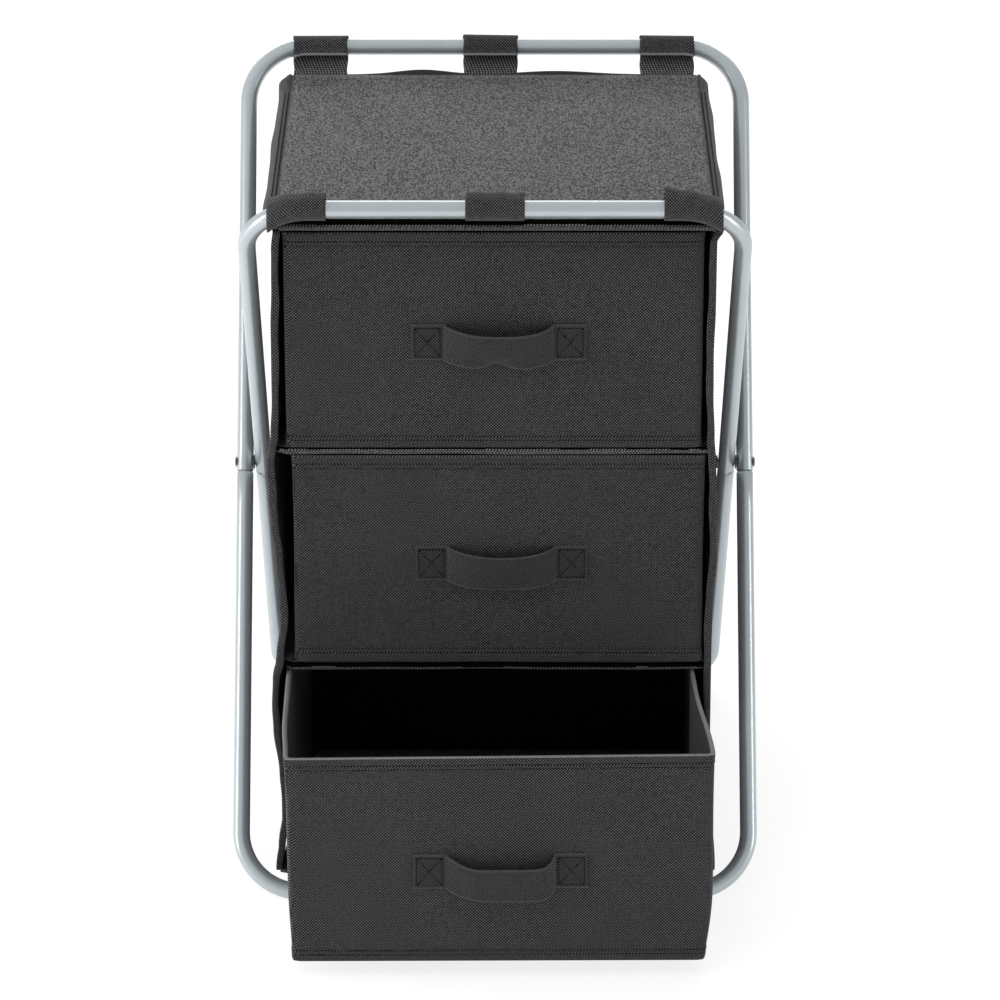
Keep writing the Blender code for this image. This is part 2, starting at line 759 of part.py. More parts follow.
def add_drawer(label, shelf_top, out, aside, handle_height, parent):
    """One drawer: shell, loose base board and handle, on its own slide."""
    front = -HALF_DEPTH - out
    place = (aside, front, shelf_top + SEAT_GAP)
    slide = add_empty(f"drawer_{label} slide", place, parent)
    add_drawer_shell(f"drawer_{label}_shell", slide)
    add_handle(f"drawer_{label}_handle", handle_height, slide)
    inset = DRAWER_WALL + BASE_BOARD_PLAY
    low = DRAWER_WALL + SEAT_GAP
    board = box_mesh(
        f"drawer_{label}_base_board",
        (-DRAWER_WIDTH / 2 + inset, inset, low),
        (DRAWER_WIDTH / 2 - inset, DRAWER_DEPTH - inset, low + BASE_BOARD),
    )
    add_piece(f"drawer_{label}_base_board", board, slide, GREYBOARD)


# The whole tower


def pivot_cutter(parent):
    """The line of the rivet holes through all four legs of the loops."""
    shape = bmesh.new()
    bmesh.ops.create_cone(
        shape,
        cap_ends=True,
        segments=ROUND_SIDES,
        radius1=HOLE_RADIUS,
        radius2=HOLE_RADIUS,
        depth=OUTER_LOOP_WIDTH + 2 * TUBE_RADIUS + 2 * OVERRUN,
        matrix=Matrix.Rotation(math.pi / 2, 4, "Y"),
    )
    return add_cutter("rivet hole cutter", mesh_of(shape, "rivet hole"), parent)


clear_scene()
tower = make_collection("drawer_storage_tower")
cutters = make_collection("cutters")

origin = add_empty("tower origin", (0.0, ORIGIN_SHIFT, 0.0))
pivot = add_empty("fold axis", (0.0, 0.0, PIVOT_HEIGHT), origin)
holes = pivot_cutter(pivot)
add_loop("outer_frame", OUTER_LOOP_WIDTH, 1, pivot, holes)
add_loop("inner_frame", INNER_LOOP_WIDTH, -1, pivot, holes)
add_pivots(pivot)

add_sleeve("floor_panel", FLOOR_TOP, origin, BLACK_CLOTH)
add_sleeve("lower_shelf", LOWER_SHELF_TOP, origin, BLACK_CLOTH)
add_sleeve("upper_shelf", UPPER_SHELF_TOP, origin, BLACK_CLOTH)
add_sleeve("top_panel", ORGANISER_TOP, origin, TOP_CLOTH, TOP_EDGE_WIDTH)
add_side_panel("left", -1, LEFT_BELLY_SHARES, origin)
add_side_panel("right", 1, RIGHT_BELLY_SHARES, origin)
add_back_panel(origin)
add_tabs(front_tab_route, "front", FRONT_TAB_SPREAD, origin)
add_tabs(rear_tab_route, "rear", REAR_TAB_SPREAD, origin)

for drawer in DRAWERS:
    add_drawer(*drawer, origin)
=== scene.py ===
# %% [markdown]
# # A folding drawer tower, dressed from its plain solids
#
# The real thing is a pair of crossed steel loops that carry a black cloth
# organiser with three soft drawers. The plain solids already stand where they
# should. This lesson gives each of them its real surface: round tube, sagging
# cloth, hems, stitches and webbing. Every cell makes one kind of piece.

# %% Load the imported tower
import json
import math

import bmesh
import bpy
import numpy as np
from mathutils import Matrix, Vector


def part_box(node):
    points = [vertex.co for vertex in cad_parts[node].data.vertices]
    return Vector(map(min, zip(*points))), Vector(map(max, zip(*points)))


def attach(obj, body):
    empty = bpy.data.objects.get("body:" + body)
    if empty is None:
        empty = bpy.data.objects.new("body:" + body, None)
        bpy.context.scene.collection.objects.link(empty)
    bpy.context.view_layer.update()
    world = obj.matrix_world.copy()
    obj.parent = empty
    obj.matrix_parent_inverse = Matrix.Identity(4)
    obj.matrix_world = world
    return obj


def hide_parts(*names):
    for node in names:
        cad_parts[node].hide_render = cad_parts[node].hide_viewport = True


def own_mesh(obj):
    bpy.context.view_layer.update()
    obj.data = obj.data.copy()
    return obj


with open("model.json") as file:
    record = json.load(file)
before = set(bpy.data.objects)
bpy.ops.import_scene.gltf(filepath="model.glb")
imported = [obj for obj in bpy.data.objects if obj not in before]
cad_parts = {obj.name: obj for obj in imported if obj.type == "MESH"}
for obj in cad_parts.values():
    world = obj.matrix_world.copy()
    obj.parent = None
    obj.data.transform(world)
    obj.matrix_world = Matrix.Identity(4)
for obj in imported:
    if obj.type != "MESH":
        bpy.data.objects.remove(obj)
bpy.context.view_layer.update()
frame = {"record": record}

# %% [markdown]
# ## Sizes
#
# The joints say where the frame turns, and the solids say where each cloth
# piece is. The few sizes below are the ones that boxes can't tell, such as a
# tube's diameter. Everything is in metres, the floor is z = 0 and the drawers
# face -Y.

# %% Sizes of the frame
joints = {joint["name"]: joint for joint in frame["record"]["behaviour"]["joints"]}
PIVOT = np.array(joints["fold"]["pos_m"])
REAR_BAR = np.array(joints["organiser_hang"]["pos_m"])
HALF_STANCE, HALF_HEIGHT = (REAR_BAR - PIVOT)[1:]
LOOP_REACH = math.hypot(HALF_STANCE, HALF_HEIGHT)
LOOP_TILT = math.atan2(HALF_STANCE, HALF_HEIGHT)

TUBE_RADIUS = 0.007
TUBE_WALL = 0.0012
BEND_RADIUS = 0.050
OUTER_HALF_WIDTH = 0.210
WASHER_THICKNESS = 0.0008
SEAT_GAP = 0.0003
INNER_HALF_WIDTH = OUTER_HALF_WIDTH - 2 * TUBE_RADIUS - WASHER_THICKNESS - 2 * SEAT_GAP
SLEEVE_PAST_PIVOT = 0.008
PLUG_PAST_PIVOT = 0.028
SHOULDER_LENGTH = 0.0015
PLUG_RADIUS = TUBE_RADIUS - TUBE_WALL - SEAT_GAP
print("loop reach", round(LOOP_REACH, 4), "tilt", round(math.degrees(LOOP_TILT), 2))

# %% Sizes of the organiser
CLOTH = 0.0012
BOARD = 0.0025
SLEEVE = BOARD + 2 * CLOTH + 2 * SEAT_GAP
TOP_EDGE_WIDTH = 0.0065
TOP_EDGE_DROP = 0.0033
TAB_WIDTH = 0.046
TAB_CLOTH = 0.0010
SIDES = (("left", -1), ("right", 1))
PLACES = (("left", -1), ("centre", 0), ("right", 1))

organiser_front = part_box("top_panel")[0].y
organiser_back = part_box("top_panel")[1].y
half_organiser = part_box("back_panel")[1].x
inside_half = half_organiser - CLOTH - SEAT_GAP
shelf_tops = [
    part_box(f"{board}_board")[1].z + SEAT_GAP + CLOTH
    for board in ("floor_panel", "lower_shelf", "upper_shelf", "top_panel")
]
organiser_top = shelf_tops[-1]
print("organiser", organiser_front, organiser_back, half_organiser, shelf_tops)

# %% [markdown]
# ## Surfaces as arrays
#
# Each piece is a grid of points worked out with numpy, so a whole surface is
# one formula. A grid becomes quads by joining every point to its neighbours,
# and it may wrap round like a tube. The running lengths along the grid become
# the UV map in metres, so a weave keeps its scale wherever the cloth bends.


# %% Grids to meshes
def running_length(points, axis):
    """Mean distance covered along an axis of a grid of points, from 0."""
    steps = np.linalg.norm(np.diff(points, axis=axis), axis=-1).mean(axis=1 - axis)
    return np.concatenate(([0.0], np.cumsum(steps)))


def face_corners(table):
    """The four corners of each face, taken from a table over a grid."""
    return np.stack((table[:-1, :-1], table[:-1, 1:], table[1:, 1:], table[1:, :-1]), 2)


def grid(points, wrap_rows=False, wrap_columns=False):
    """Vertices, quads and corner UVs of a grid of points.

    A wrapped direction gets one more line of faces, back to the first points.
    """
    rows, columns = points.shape[:2]
    index = np.arange(rows * columns).reshape(rows, columns)
    padded = points
    for axis, wrapped in enumerate((wrap_rows, wrap_columns)):
        if wrapped:
            index = np.concatenate((index, index.take([0], axis)), axis)
            padded = np.concatenate((padded, padded.take([0], axis)), axis)
    lengths = (running_length(padded, 1)[None, :], running_length(padded, 0)[:, None])
    uv = np.stack(np.broadcast_arrays(*lengths), -1)
    quads = face_corners(index).reshape(-1, 4)
    return points.reshape(-1, 3), quads, face_corners(uv).reshape(-1, 2)


def points_at(x, y, z):
    """A grid of points from three coordinates that may each be a row or column."""
    return np.stack(np.broadcast_arrays(x, y, z), -1)


def joined(parts):
    """Several (vertices, quads, uvs) as one: each part's indices move on."""
    starts = np.cumsum([0] + [len(part[0]) for part in parts[:-1]])
    vertices = np.concatenate([part[0] for part in parts])
    quads = np.concatenate([part[1] + start for part, start in zip(parts, starts)])
    return vertices, quads, np.concatenate([part[2] for part in parts])


def make_piece(name, shape, body, finish, replaces=(), wall=0.0, closed=True):
    """A finished piece: mesh, UVs, material, cloth thickness and its body.

    A closed shape has coinciding points merged and its faces turned outwards.
    A wall is cloth thickness, half on each side of the surface.
    """
    vertices, quads, uvs = shape
    mesh = bpy.data.meshes.new(name)
    mesh.from_pydata(vertices.tolist(), [], quads.tolist())
    layer = mesh.uv_layers.new(name="cloth")
    layer.data.foreach_set("uv", uvs.astype(np.float32).ravel())
    merging = bmesh.new()
    merging.from_mesh(mesh)
    bmesh.ops.remove_doubles(merging, verts=merging.verts, dist=1e-6)
    bmesh.ops.dissolve_degenerate(merging, edges=merging.edges, dist=1e-6)
    if closed:
        bmesh.ops.recalc_face_normals(merging, faces=merging.faces)
    merging.to_mesh(mesh)
    merging.free()
    mesh.shade_smooth()
    mesh.set_sharp_from_angle(angle=math.radians(50))
    mesh.materials.append(finish.material)
    piece = bpy.data.objects.new(name, mesh)
    bpy.context.scene.collection.objects.link(piece)
    if wall:
        thickness = piece.modifiers.new("cloth thickness", "SOLIDIFY")
        thickness.thickness = wall
        thickness.offset = 0.0
        thickness.use_even_offset = True
    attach(piece, body)
    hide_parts(*replaces)
    return piece


def sheet_piece(name, points, finish, nodes, body="organiser", wall=CLOTH):
    """A sheet of cloth from a grid of points, cut as long and wide as the grid runs."""
    shape = grid(points)
    piece = make_piece(name, shape, body, finish, nodes, wall, closed=False)
    return piece


def paint(piece, finish, chosen):
    """Give the faces that a test picks from their centres another finish."""
    centres = np.empty(len(piece.data.polygons) * 3, np.float32)
    piece.data.polygons.foreach_get("center", centres)
    index = np.empty(len(piece.data.polygons), np.int32)
    piece.data.polygons.foreach_get("material_index", index)
    index[chosen(*centres.reshape(-1, 3).T)] = len(piece.data.materials)
    piece.data.materials.append(finish.material)
    piece.data.polygons.foreach_set("material_index", index)


def eased(value, low, high):
    """0 below low, 1 above high, and a smooth S-curve between them."""
    share = np.clip((value - low) / (high - low), 0.0, 1.0)
    return share * share * (3.0 - 2.0 * share)


def ridge(value, centre, width):
    """A bell curve: 1 at the centre, fading over the width."""
    return np.exp(-(((value - centre) / width) ** 2))


def softened(points, reach):
    """Points averaged with their neighbours along the rows, ends kept."""
    kernel = np.hanning(2 * reach + 3)[1:-1]
    kernel /= kernel.sum()
    stretched = np.concatenate(
        (np.repeat(points[:1], reach, 0), points, np.repeat(points[-1:], reach, 0))
    )
    smooth = sum(
        weight * stretched[shift : shift + len(points)]
        for shift, weight in enumerate(kernel)
    )
    smooth[0], smooth[-1] = points[0], points[-1]
    return smooth


def resampled(points, count):
    """Rows spread evenly by running length, columns kept as they are."""
    along = running_length(points, 0)
    wanted = np.linspace(0.0, along[-1], count)
    place = np.searchsorted(along, wanted, side="right") - 1
    place = np.clip(place, 0, len(points) - 2)
    share = (wanted - along[place]) / (along[place + 1] - along[place])
    share = share[:, None, None]
    return points[place] * (1.0 - share) + points[place + 1] * share


# %% [markdown]
# ## Finishes
#
# A finish is a Principled material plus what varies over its surface. Shader
# maths is easier to read as an expression than as a chain of nodes, so a small
# class wraps a socket and adds a Math node for each operator. Anything else
# comes from one method that adds any node with its settings and its inputs. The
# floor and the room are written the same way, later on.


# %% Shader maths in plain expressions
class Signal:
    """A shader socket that can be added, multiplied and compared."""

    def __init__(self, nodes, socket):
        self.nodes = nodes
        self.socket = socket

    def maths(self, operation, *values):
        """A Math node on these values."""
        inputs = dict(enumerate(values))
        return self.nodes.node("ShaderNodeMath", {"operation": operation}, inputs)

    def __add__(self, other):
        return self.maths("ADD", self, other)

    def __sub__(self, other):
        return self.maths("SUBTRACT", self, other)

    def __mul__(self, other):
        return self.maths("MULTIPLY", self, other)

    def __rsub__(self, other):
        return self.maths("SUBTRACT", other, self)

    __radd__ = __add__
    __rmul__ = __mul__

    def sine(self):
        """Sine of the value, in radians."""
        return self.maths("SINE", self)

    def larger(self, other):
        """The larger of two values."""
        return self.maths("MAXIMUM", self, other)

    def eased(self, low, high):
        """0 below low, 1 above high, smooth between."""
        settings = {"interpolation_type": "SMOOTHSTEP"}
        values = {"Value": self, "From Min": low, "From Max": high}
        return self.nodes.node("ShaderNodeMapRange", settings, values)


class Nodes:
    """The node tree of a material or of the room, being written."""

    def __init__(self, owner):
        owner.use_nodes = True
        self.tree = owner.node_tree

    def fill(self, node, values):
        """Set or link a node's inputs."""
        for socket, value in values.items():
            if isinstance(value, Signal):
                self.tree.links.new(value.socket, node.inputs[socket])
            else:
                node.inputs[socket].default_value = value

    def node(self, kind, settings, values, output=0):
        """Add a node: its settings first, then the values of its sockets."""
        made = self.tree.nodes.new(kind)
        for setting, value in settings.items():
            setattr(made, setting, value)
        self.fill(made, values)
        return Signal(self, made.outputs[output])

    def rays(self, *kinds):
        """1 where the ray that arrives is of a kind, else 0, for each kind."""
        return [self.node("ShaderNodeLightPath", {}, {}, f"Is {kind} Ray") for kind in kinds]


class Finish(Nodes):
    """A material being written, and the record's slot that it stands for."""

    def __init__(self, name, slot, colour, roughness, metallic=0.0, **sockets):
        self.material = bpy.data.materials.new(name)
        super().__init__(self.material)
        self.colour = (*colour, 1.0)
        self.material.diffuse_color = self.colour
        self.slot = slot
        self.shader = self.tree.nodes["Principled BSDF"]
        values = {"Base Color": self.colour, "Roughness": roughness, "Metallic": metallic}
        values.update({word.replace("_", " "): value for word, value in sockets.items()})
        self.fill(self.shader, values)

    def split(self, point):
        """The x, y and z signals of a vector signal."""
        parts = self.tree.nodes.new("ShaderNodeSeparateXYZ")
        self.fill(parts, {0: point})
        return [Signal(self, output) for output in parts.outputs]

    def place(self):
        """Where a point is on the object: its x, y and z signals."""
        return self.split(self.node("ShaderNodeTexCoord", {}, {}, "Object"))

    def cloth_place(self):
        """Where a point is on the cloth itself, in metres across and along."""
        return self.split(self.node("ShaderNodeUVMap", {"uv_map": "cloth"}, {}))[:2]

    def noise(self, size, detail=2.0, squeeze=(1.0, 1.0, 1.0)):
        """Smooth noise from 0 to 1 with features of about this size.

        A squeeze below 1 makes the features longer along that axis.
        """
        point = self.node("ShaderNodeTexCoord", {}, {}, "Object")
        settings = {"operation": "MULTIPLY"}
        point = self.node("ShaderNodeVectorMath", settings, {0: point, 1: squeeze})
        values = {"Vector": point, "Scale": 1.0 / size, "Detail": detail}
        return self.node("ShaderNodeTexNoise", {}, values, "Fac")

    def shade(self, share, dark, light):
        """The finish's colour from dark to light times itself, by a signal."""
        ends = [tuple(part * k for part in self.colour[:3]) + (1.0,) for k in (dark, light)]
        values = {0: share, 6: ends[0], 7: ends[1]}
        mixed = self.node("ShaderNodeMix", {"data_type": "RGBA"}, values, 2)
        self.fill(self.shader, {"Base Color": mixed})

    def bump(self, height, distance, strength=1.0):
        """Raise the surface by a signal, as a bump of this many metres."""
        values = {"Height": height, "Distance": distance, "Strength": strength}
        normal = self.node("ShaderNodeBump", {}, values)
        self.fill(self.shader, {"Normal": normal})

    def roughen(self, signal):
        """Let a signal be the roughness."""
        self.fill(self.shader, {"Roughness": signal})

    def grained(self, size, detail, dark, light, height):
        """One fine grain in the colour and in the surface. Returns its signal."""
        grain = self.noise(size, detail)
        self.shade(grain, dark, light)
        self.bump(grain, height)
        return grain


# %% [markdown]
# ### Steel, zinc and nylon
#
# The tubes are powder coated in a silver grey that mirrors the room softly:
# white on the outer side and dark towards the cloth. The coat has a very fine
# orange peel. The rivets are darker plated steel with worn crowns.

# %% Metal and plastic finishes
steel = Finish("silver grey powder coat", "frame_tube", (0.462, 0.509, 0.530), 0.30, 0.62)
peel = steel.noise(0.0022, 2.0)
haze = steel.noise(0.03, 3.0)
steel.shade(haze, 0.95, 1.05)
steel.roughen(peel * 0.04 + haze * 0.08 + 0.24)
steel.bump(peel, 0.00002)

zinc = Finish("worn plated rivet", "rivet", (0.17, 0.175, 0.18), 0.38, 0.9)
wear = zinc.grained(0.0012, 4.0, 0.7, 1.25, 0.0001)
zinc.roughen(wear * 0.25 + 0.28)

nylon = Finish("black nylon", "washer", (0.018, 0.018, 0.019), 0.5)
nylon.grained(0.0008, 2.0, 0.8, 1.3, 0.00005)
print("metal finishes ready")

# %% [markdown]
# ### Embossed cloth
#
# The organiser and the drawers are non-woven cloth that is pressed between
# rollers with small dots in diagonal rows. Two crossed sine waves make those
# rows. On the flat walls the waves run on the object's own x, y and z, so the
# rows meet at the corners, and on straps that bend round a bar they follow the
# cloth's own lengths.

# %% Cloth finishes
DOT_PITCH = 0.0025
DULL = {"Specular_IOR_Level": 0.25, "Sheen_Weight": 0.1}


def dots(first, second):
    """Crossed waves: 1 on the raised dots of the cloth and 0 between them."""
    turn = 2.0 * math.pi / DOT_PITCH
    net = (first * turn).sine() * (second * turn).sine()
    return net * 0.5 + 0.5


def embossed(name, slot, colour, waves):
    """Black non-woven cloth: raised dots, fuzz and soft patches of wear."""
    cloth = Finish(name, slot, colour, 0.88, Sheen_Roughness=0.5, **DULL)
    net = dots(*waves(cloth))
    fuzz = cloth.noise(0.0016, 3.0)
    patches = cloth.noise(0.06, 3.0)
    raised = net.eased(0.50, 0.78) * (fuzz * 1.6 + 0.10)
    tone = raised * 0.95 + (fuzz - 0.5) * 0.35 + (patches - 0.5) * 0.12
    cloth.shade(tone + 0.02, 0.03, 7.2)
    cloth.bump(net * 0.8 + fuzz * 0.6, 0.0004)
    return cloth


def wall_waves(cloth):
    """Round the upright walls, and up them."""
    x, y, z = cloth.place()
    return x + y, z


def level_waves(cloth):
    """Across and along a level sheet."""
    x, y, _ = cloth.place()
    return x, y


organiser_cloth = embossed(
    "organiser cloth", "organiser_cloth", (0.0150, 0.0150, 0.0158), wall_waves
)
drawer_cloth = embossed("drawer cloth", "drawer_cloth", (0.0146, 0.0146, 0.0154), wall_waves)
tab_cloth = embossed(
    "tab cloth", "organiser_cloth", (0.0165, 0.0165, 0.0172), Finish.cloth_place
)
# Painted light: the organiser cloth at twice its brightness, for noses, lips and strap faces
# that stand in the light.
painted_light_cloth = embossed("cloth copy painted light", "organiser_cloth", (0.0300, 0.0300, 0.0315), wall_waves)
# Painted shade: the drawer cloth made nearly black for the inside of the drawers, which lies in
# shade.
shade_inside_cloth = embossed("drawer lining", "drawer_cloth", (0.0020, 0.0019, 0.0018), wall_waves)

# Partly wear and partly painted highlight: a pale copy of the cloth for folds that are rubbed
# pale and catch the light.
worn_and_lit_fold = Finish("worn fold with painted highlight", "drawer_cloth", (0.140, 0.140, 0.144), 0.85)
worn_and_lit_fold.grained(0.0016, 3.0, 0.5, 1.5, 0.0003)

# Painted shade: the organiser cloth made near black and without shine, for places that lie in
# shade under the front bar, under a drawer and under a strap.
SHADE_BLACK = (0.0016, 0.0015, 0.0014)
shade_black_cloth = Finish("black cloth painted as shade", "organiser_cloth", SHADE_BLACK, 0.95, Specular_IOR_Level=0.0)
shade_black_cloth.grained(0.0014, 3.0, 0.4, 1.8, 0.0002)

# Painted light: the top is the organiser's black cloth, painted lighter and speckled to stand
# for the light from above; its glints are painted highlights.
top_cloth = Finish("speckled top cloth", "top_cloth", (0.0405, 0.0400, 0.0415), 0.9, **DULL)
top_net = dots(*level_waves(top_cloth))
LENGTHWAYS = (1.0, 0.5, 1.0)
top_grit = top_cloth.noise(0.0014, 1.0, LENGTHWAYS)
top_patches = top_cloth.noise(0.09, 2.0)
top_glints = top_cloth.noise(0.0024, 0.0, LENGTHWAYS).eased(0.66, 0.80)
top_tone = (top_grit - 0.5) * 6.0 + top_glints * 0.6 + top_net * 0.2
top_cloth.shade(top_tone + top_patches * 0.25 + 0.24, 0.12, 2.5)
top_cloth.bump(top_grit * 0.8 + top_net * 0.3, 0.0004)

# %% [markdown]
# ### Webbing, thread and board
#
# The handles are twill webbing with a thicker selvedge along both edges, which
# catches the light. The thread is blacker than the cloth. The boards are grey
# pulp board with flecks.

# %% Webbing, thread and board finishes
HANDLE_WIDTH = 0.030
SELVEDGE = 0.0013

webbing = Finish("twill webbing", "webbing", (0.0120, 0.0120, 0.0124), 0.85, **DULL)
strap_across, strap_along = webbing.cloth_place()
twill = dots(strap_across, strap_along)
selvedge = 1.0 - strap_across.eased(SELVEDGE * 0.6, SELVEDGE)
selvedge = selvedge + strap_across.eased(HANDLE_WIDTH - SELVEDGE, HANDLE_WIDTH - SELVEDGE * 0.6)
strap_fuzz = webbing.noise(0.0016, 3.0)
strap_tone = twill.eased(0.50, 0.78) * 0.8 + (strap_fuzz - 0.5) * 0.7
webbing.shade(strap_tone + selvedge * 0.4 + 0.12, 0.03, 5.2)
webbing.bump(twill * 0.6 + selvedge * 0.8 + strap_fuzz * 0.5, 0.0004)

DARK = (0.0016, 0.0016, 0.0017)
thread = Finish("polyester thread", "webbing", DARK, 0.8, Specular_IOR_Level=0.15)
thread.grained(0.0004, 2.0, 0.7, 1.3, 0.0001)

greyboard = Finish("grey pulp board", "board", (0.26, 0.245, 0.22), 0.9)
greyboard.grained(0.0015, 4.0, 0.7, 1.25, 0.0001)
print("cloth finishes ready")

# %% [markdown]
# ## Steel frame
#
# Each loop is one U of tube plugged into another, with the joint just below
# the pivot. A tube is a circle carried along a path. Here the path is a flat U
# with two quarter bends, and the circle is walked along the outside and back
# along the inside, so the wall and its rounded lips are one closed surface.

# %% A tube along a U
TUBE_SIDES = 40
BEND_STATIONS = 20
LIP_STEPS = 3


def u_path(half_width, leg_start):
    """Stations of a U in its own plane: across, along and outward angle.

    Up a leg from leg_start, round a quarter circle, over the bar, round the
    other quarter and down the other leg.
    """
    corner = LOOP_REACH - BEND_RADIUS
    centre = half_width - BEND_RADIUS
    turn = np.linspace(math.pi, math.pi / 2, BEND_STATIONS + 1)
    rise = np.linspace(leg_start, corner, 12)[:-1]
    bar = np.linspace(-centre, centre, 12)[1:-1]
    bend_y = corner + BEND_RADIUS * np.sin(turn)
    bend = np.stack((-centre + BEND_RADIUS * np.cos(turn), bend_y, turn), 1)
    leg = points_at(-half_width, rise, math.pi)
    middle = points_at(bar, LOOP_REACH, math.pi / 2)
    half = np.concatenate((leg, bend))
    mirrored = half[::-1] * (-1.0, 1.0, -1.0) + (0.0, 0.0, math.pi)
    return np.concatenate((half, middle, mirrored))


def with_ends(path, extra):
    """A path with a few more stations down both legs: (distance below, radius).

    Returns the stations and the radius at each, the same at both ends.
    """
    down = np.array([drop for drop, _ in extra])
    radii = np.array([radius for _, radius in extra])
    first, last = (np.repeat(path[end][None], len(extra), 0) for end in (0, -1))
    first[:, 1] -= down
    last[:, 1] -= down
    stations = np.concatenate((first, path, last[::-1]))
    body = np.full(len(path), TUBE_RADIUS)
    return stations, np.concatenate((radii, body, radii[::-1]))


def tube(stations, radii, along):
    """Carry a circle along stations in the plane of X and a direction."""
    around = np.linspace(0.0, 2.0 * math.pi, TUBE_SIDES, endpoint=False)
    flat = np.array((1.0, 0.0, 0.0))
    normal = np.cross(flat, along)
    across, reach, angle = stations.T
    centre = PIVOT + across[:, None] * flat + reach[:, None] * along
    outward = np.cos(angle)[:, None] * flat + np.sin(angle)[:, None] * along
    ring = np.cos(around)[None, :, None] * outward[:, None, :]
    ring = ring + np.sin(around)[None, :, None] * normal
    return centre[:, None, :] + radii[:, None, None] * ring


def lip(outer, wall):
    """Rounded end of a tube wall: (distance below its last station, radius)."""
    turn = np.linspace(0.0, math.pi / 2, LIP_STEPS + 1)
    return [
        (wall / 2 * math.cos(angle), outer - wall / 2 + wall / 2 * math.sin(angle))
        for angle in turn
    ]


def closed_tube(stations, radii, inner_radius, along):
    """The tube's outside, and back along its inside, as one wrapped grid."""
    outside = tube(stations, radii, along)
    inside = tube(stations, np.full_like(radii, inner_radius), along)
    return grid(np.concatenate((outside, inside[::-1])), True, True)


# %% The two loops
PLUG_CHAMFER = (0.0008, 0.0005)
SHOULDER_EASE = 0.0002

for name, half_width, lean in (
    ("outer_frame", OUTER_HALF_WIDTH, 1),
    ("inner_frame", INNER_HALF_WIDTH, -1),
):
    upward = np.array((0.0, lean * math.sin(LOOP_TILT), math.cos(LOOP_TILT)))
    upper_path = u_path(half_width, -SLEEVE_PAST_PIVOT + TUBE_WALL / 2)
    upper = with_ends(upper_path, lip(TUBE_RADIUS, TUBE_WALL))
    shape = closed_tube(*upper, TUBE_RADIUS - TUBE_WALL, upward)
    make_piece(f"{name}_upper_tube", shape, name, steel, [f"{name}_upper"])

    shoulder = SLEEVE_PAST_PIVOT + SEAT_GAP
    lower_path = u_path(half_width, shoulder + SHOULDER_LENGTH)
    plug_end = shoulder + SHOULDER_LENGTH + PLUG_PAST_PIVOT
    plug = [
        (plug_end, PLUG_RADIUS - PLUG_CHAMFER[1]),
        (plug_end - PLUG_CHAMFER[0], PLUG_RADIUS),
        (SHOULDER_LENGTH + 2 * SHOULDER_EASE, PLUG_RADIUS),
        (SHOULDER_LENGTH, PLUG_RADIUS + SHOULDER_EASE),
        (SHOULDER_LENGTH * 0.5, (PLUG_RADIUS + TUBE_RADIUS) / 2 + SHOULDER_EASE),
        (SHOULDER_LENGTH * 0.15, TUBE_RADIUS - SHOULDER_EASE),
    ]
    lower = with_ends(lower_path, plug)
    shape = closed_tube(*lower, PLUG_RADIUS - TUBE_WALL, -upward)
    make_piece(f"{name}_lower_tube", shape, name, steel, [f"{name}_lower"])
print("frame tubes made")

# %% [markdown]
# ### Rivets, caps and washers
#
# A rivet is a turned part: a profile spun round the pivot's line. The head is
# a low dome outside the leg, and a domed push-on cap closes it inside.

# %% Turned parts on the pivot's line
ROUND_SIDES = 40
HEAD = (0.0043, 0.0014)
CAP = (0.0055, 0.0026)
SHANK_RADIUS = 0.0025
WASHER_RADIUS = 0.0060
WASHER_BEVEL = 0.0002
RIM_SHARE = 0.35


def dome_profile(start, radius, height):
    """A low dome from its tip to its rim: (distance along X, radius)."""
    angle = np.linspace(0.0, math.pi / 2, 9)
    rim = height * RIM_SHARE
    along = start + rim + (height - rim) * np.cos(angle)
    return np.stack((along, radius * np.sin(angle)), 1)


def turned(profile, side, wrap=False):
    """Spin a profile of (along X, radius) round the pivot's line."""
    around = np.linspace(0.0, 2.0 * math.pi, ROUND_SIDES, endpoint=False)
    along, radius = np.array(profile).T
    y = radius[:, None] * np.cos(around)
    z = radius[:, None] * np.sin(around)
    return grid(points_at(side * along[:, None], y, z) + PIVOT, wrap, True)


rivet_seat = OUTER_HALF_WIDTH + TUBE_RADIUS + SEAT_GAP
cap_seat = INNER_HALF_WIDTH - TUBE_RADIUS - SEAT_GAP
washer_outer = OUTER_HALF_WIDTH - TUBE_RADIUS - SEAT_GAP
for label, side in SIDES:
    head = dome_profile(rivet_seat, *HEAD)
    shank = [(rivet_seat, HEAD[0]), (rivet_seat, SHANK_RADIUS), (cap_seat, SHANK_RADIUS)]
    rivet = np.concatenate((head, shank, [(cap_seat, 0.0)]))
    cap = dome_profile(cap_seat, *CAP) * (-1.0, 1.0) + (2 * cap_seat, 0.0)
    cap = np.concatenate((cap, [(cap_seat, CAP[0]), (cap_seat, 0.0)]))
    washer = [
        (washer_outer - share * WASHER_THICKNESS, radius)
        for share, radius in (
            (0.0, SHANK_RADIUS + SEAT_GAP),
            (0.0, WASHER_RADIUS - WASHER_BEVEL),
            (0.3, WASHER_RADIUS),
            (0.7, WASHER_RADIUS),
            (1.0, WASHER_RADIUS - WASHER_BEVEL),
            (1.0, SHANK_RADIUS + SEAT_GAP),
        )
    ]
    for word, profile, finish, wrap in (
        ("rivet", rivet, zinc, False),
        ("cap", cap, zinc, False),
        ("washer", washer, nylon, True),
    ):
        shape = turned(profile, side, wrap)
        make_piece(f"{word}_{label}", shape, "outer_frame", finish, [f"pivot_{word}_{label}"])
print("pivots made")

# %% [markdown]
# ## Cloth organiser
#
# The organiser is sewn from sheets. Its top and shelves are sleeves: a sheet
# folded round the front of a stiff board. The side sheets hang a little slack
# between the shelves, and tape binds their front edges. Each sheet is a height
# or belly formula on a fine grid, with a cloth's thickness added at the end.

# %% Sleeves round the boards
NOSE_POINTS = 11
SLEEVE_COLUMNS = 72
SLEEVE_ROWS = 36
NOSE_NEAR = 0.035
NOSE_CORNER = 0.02


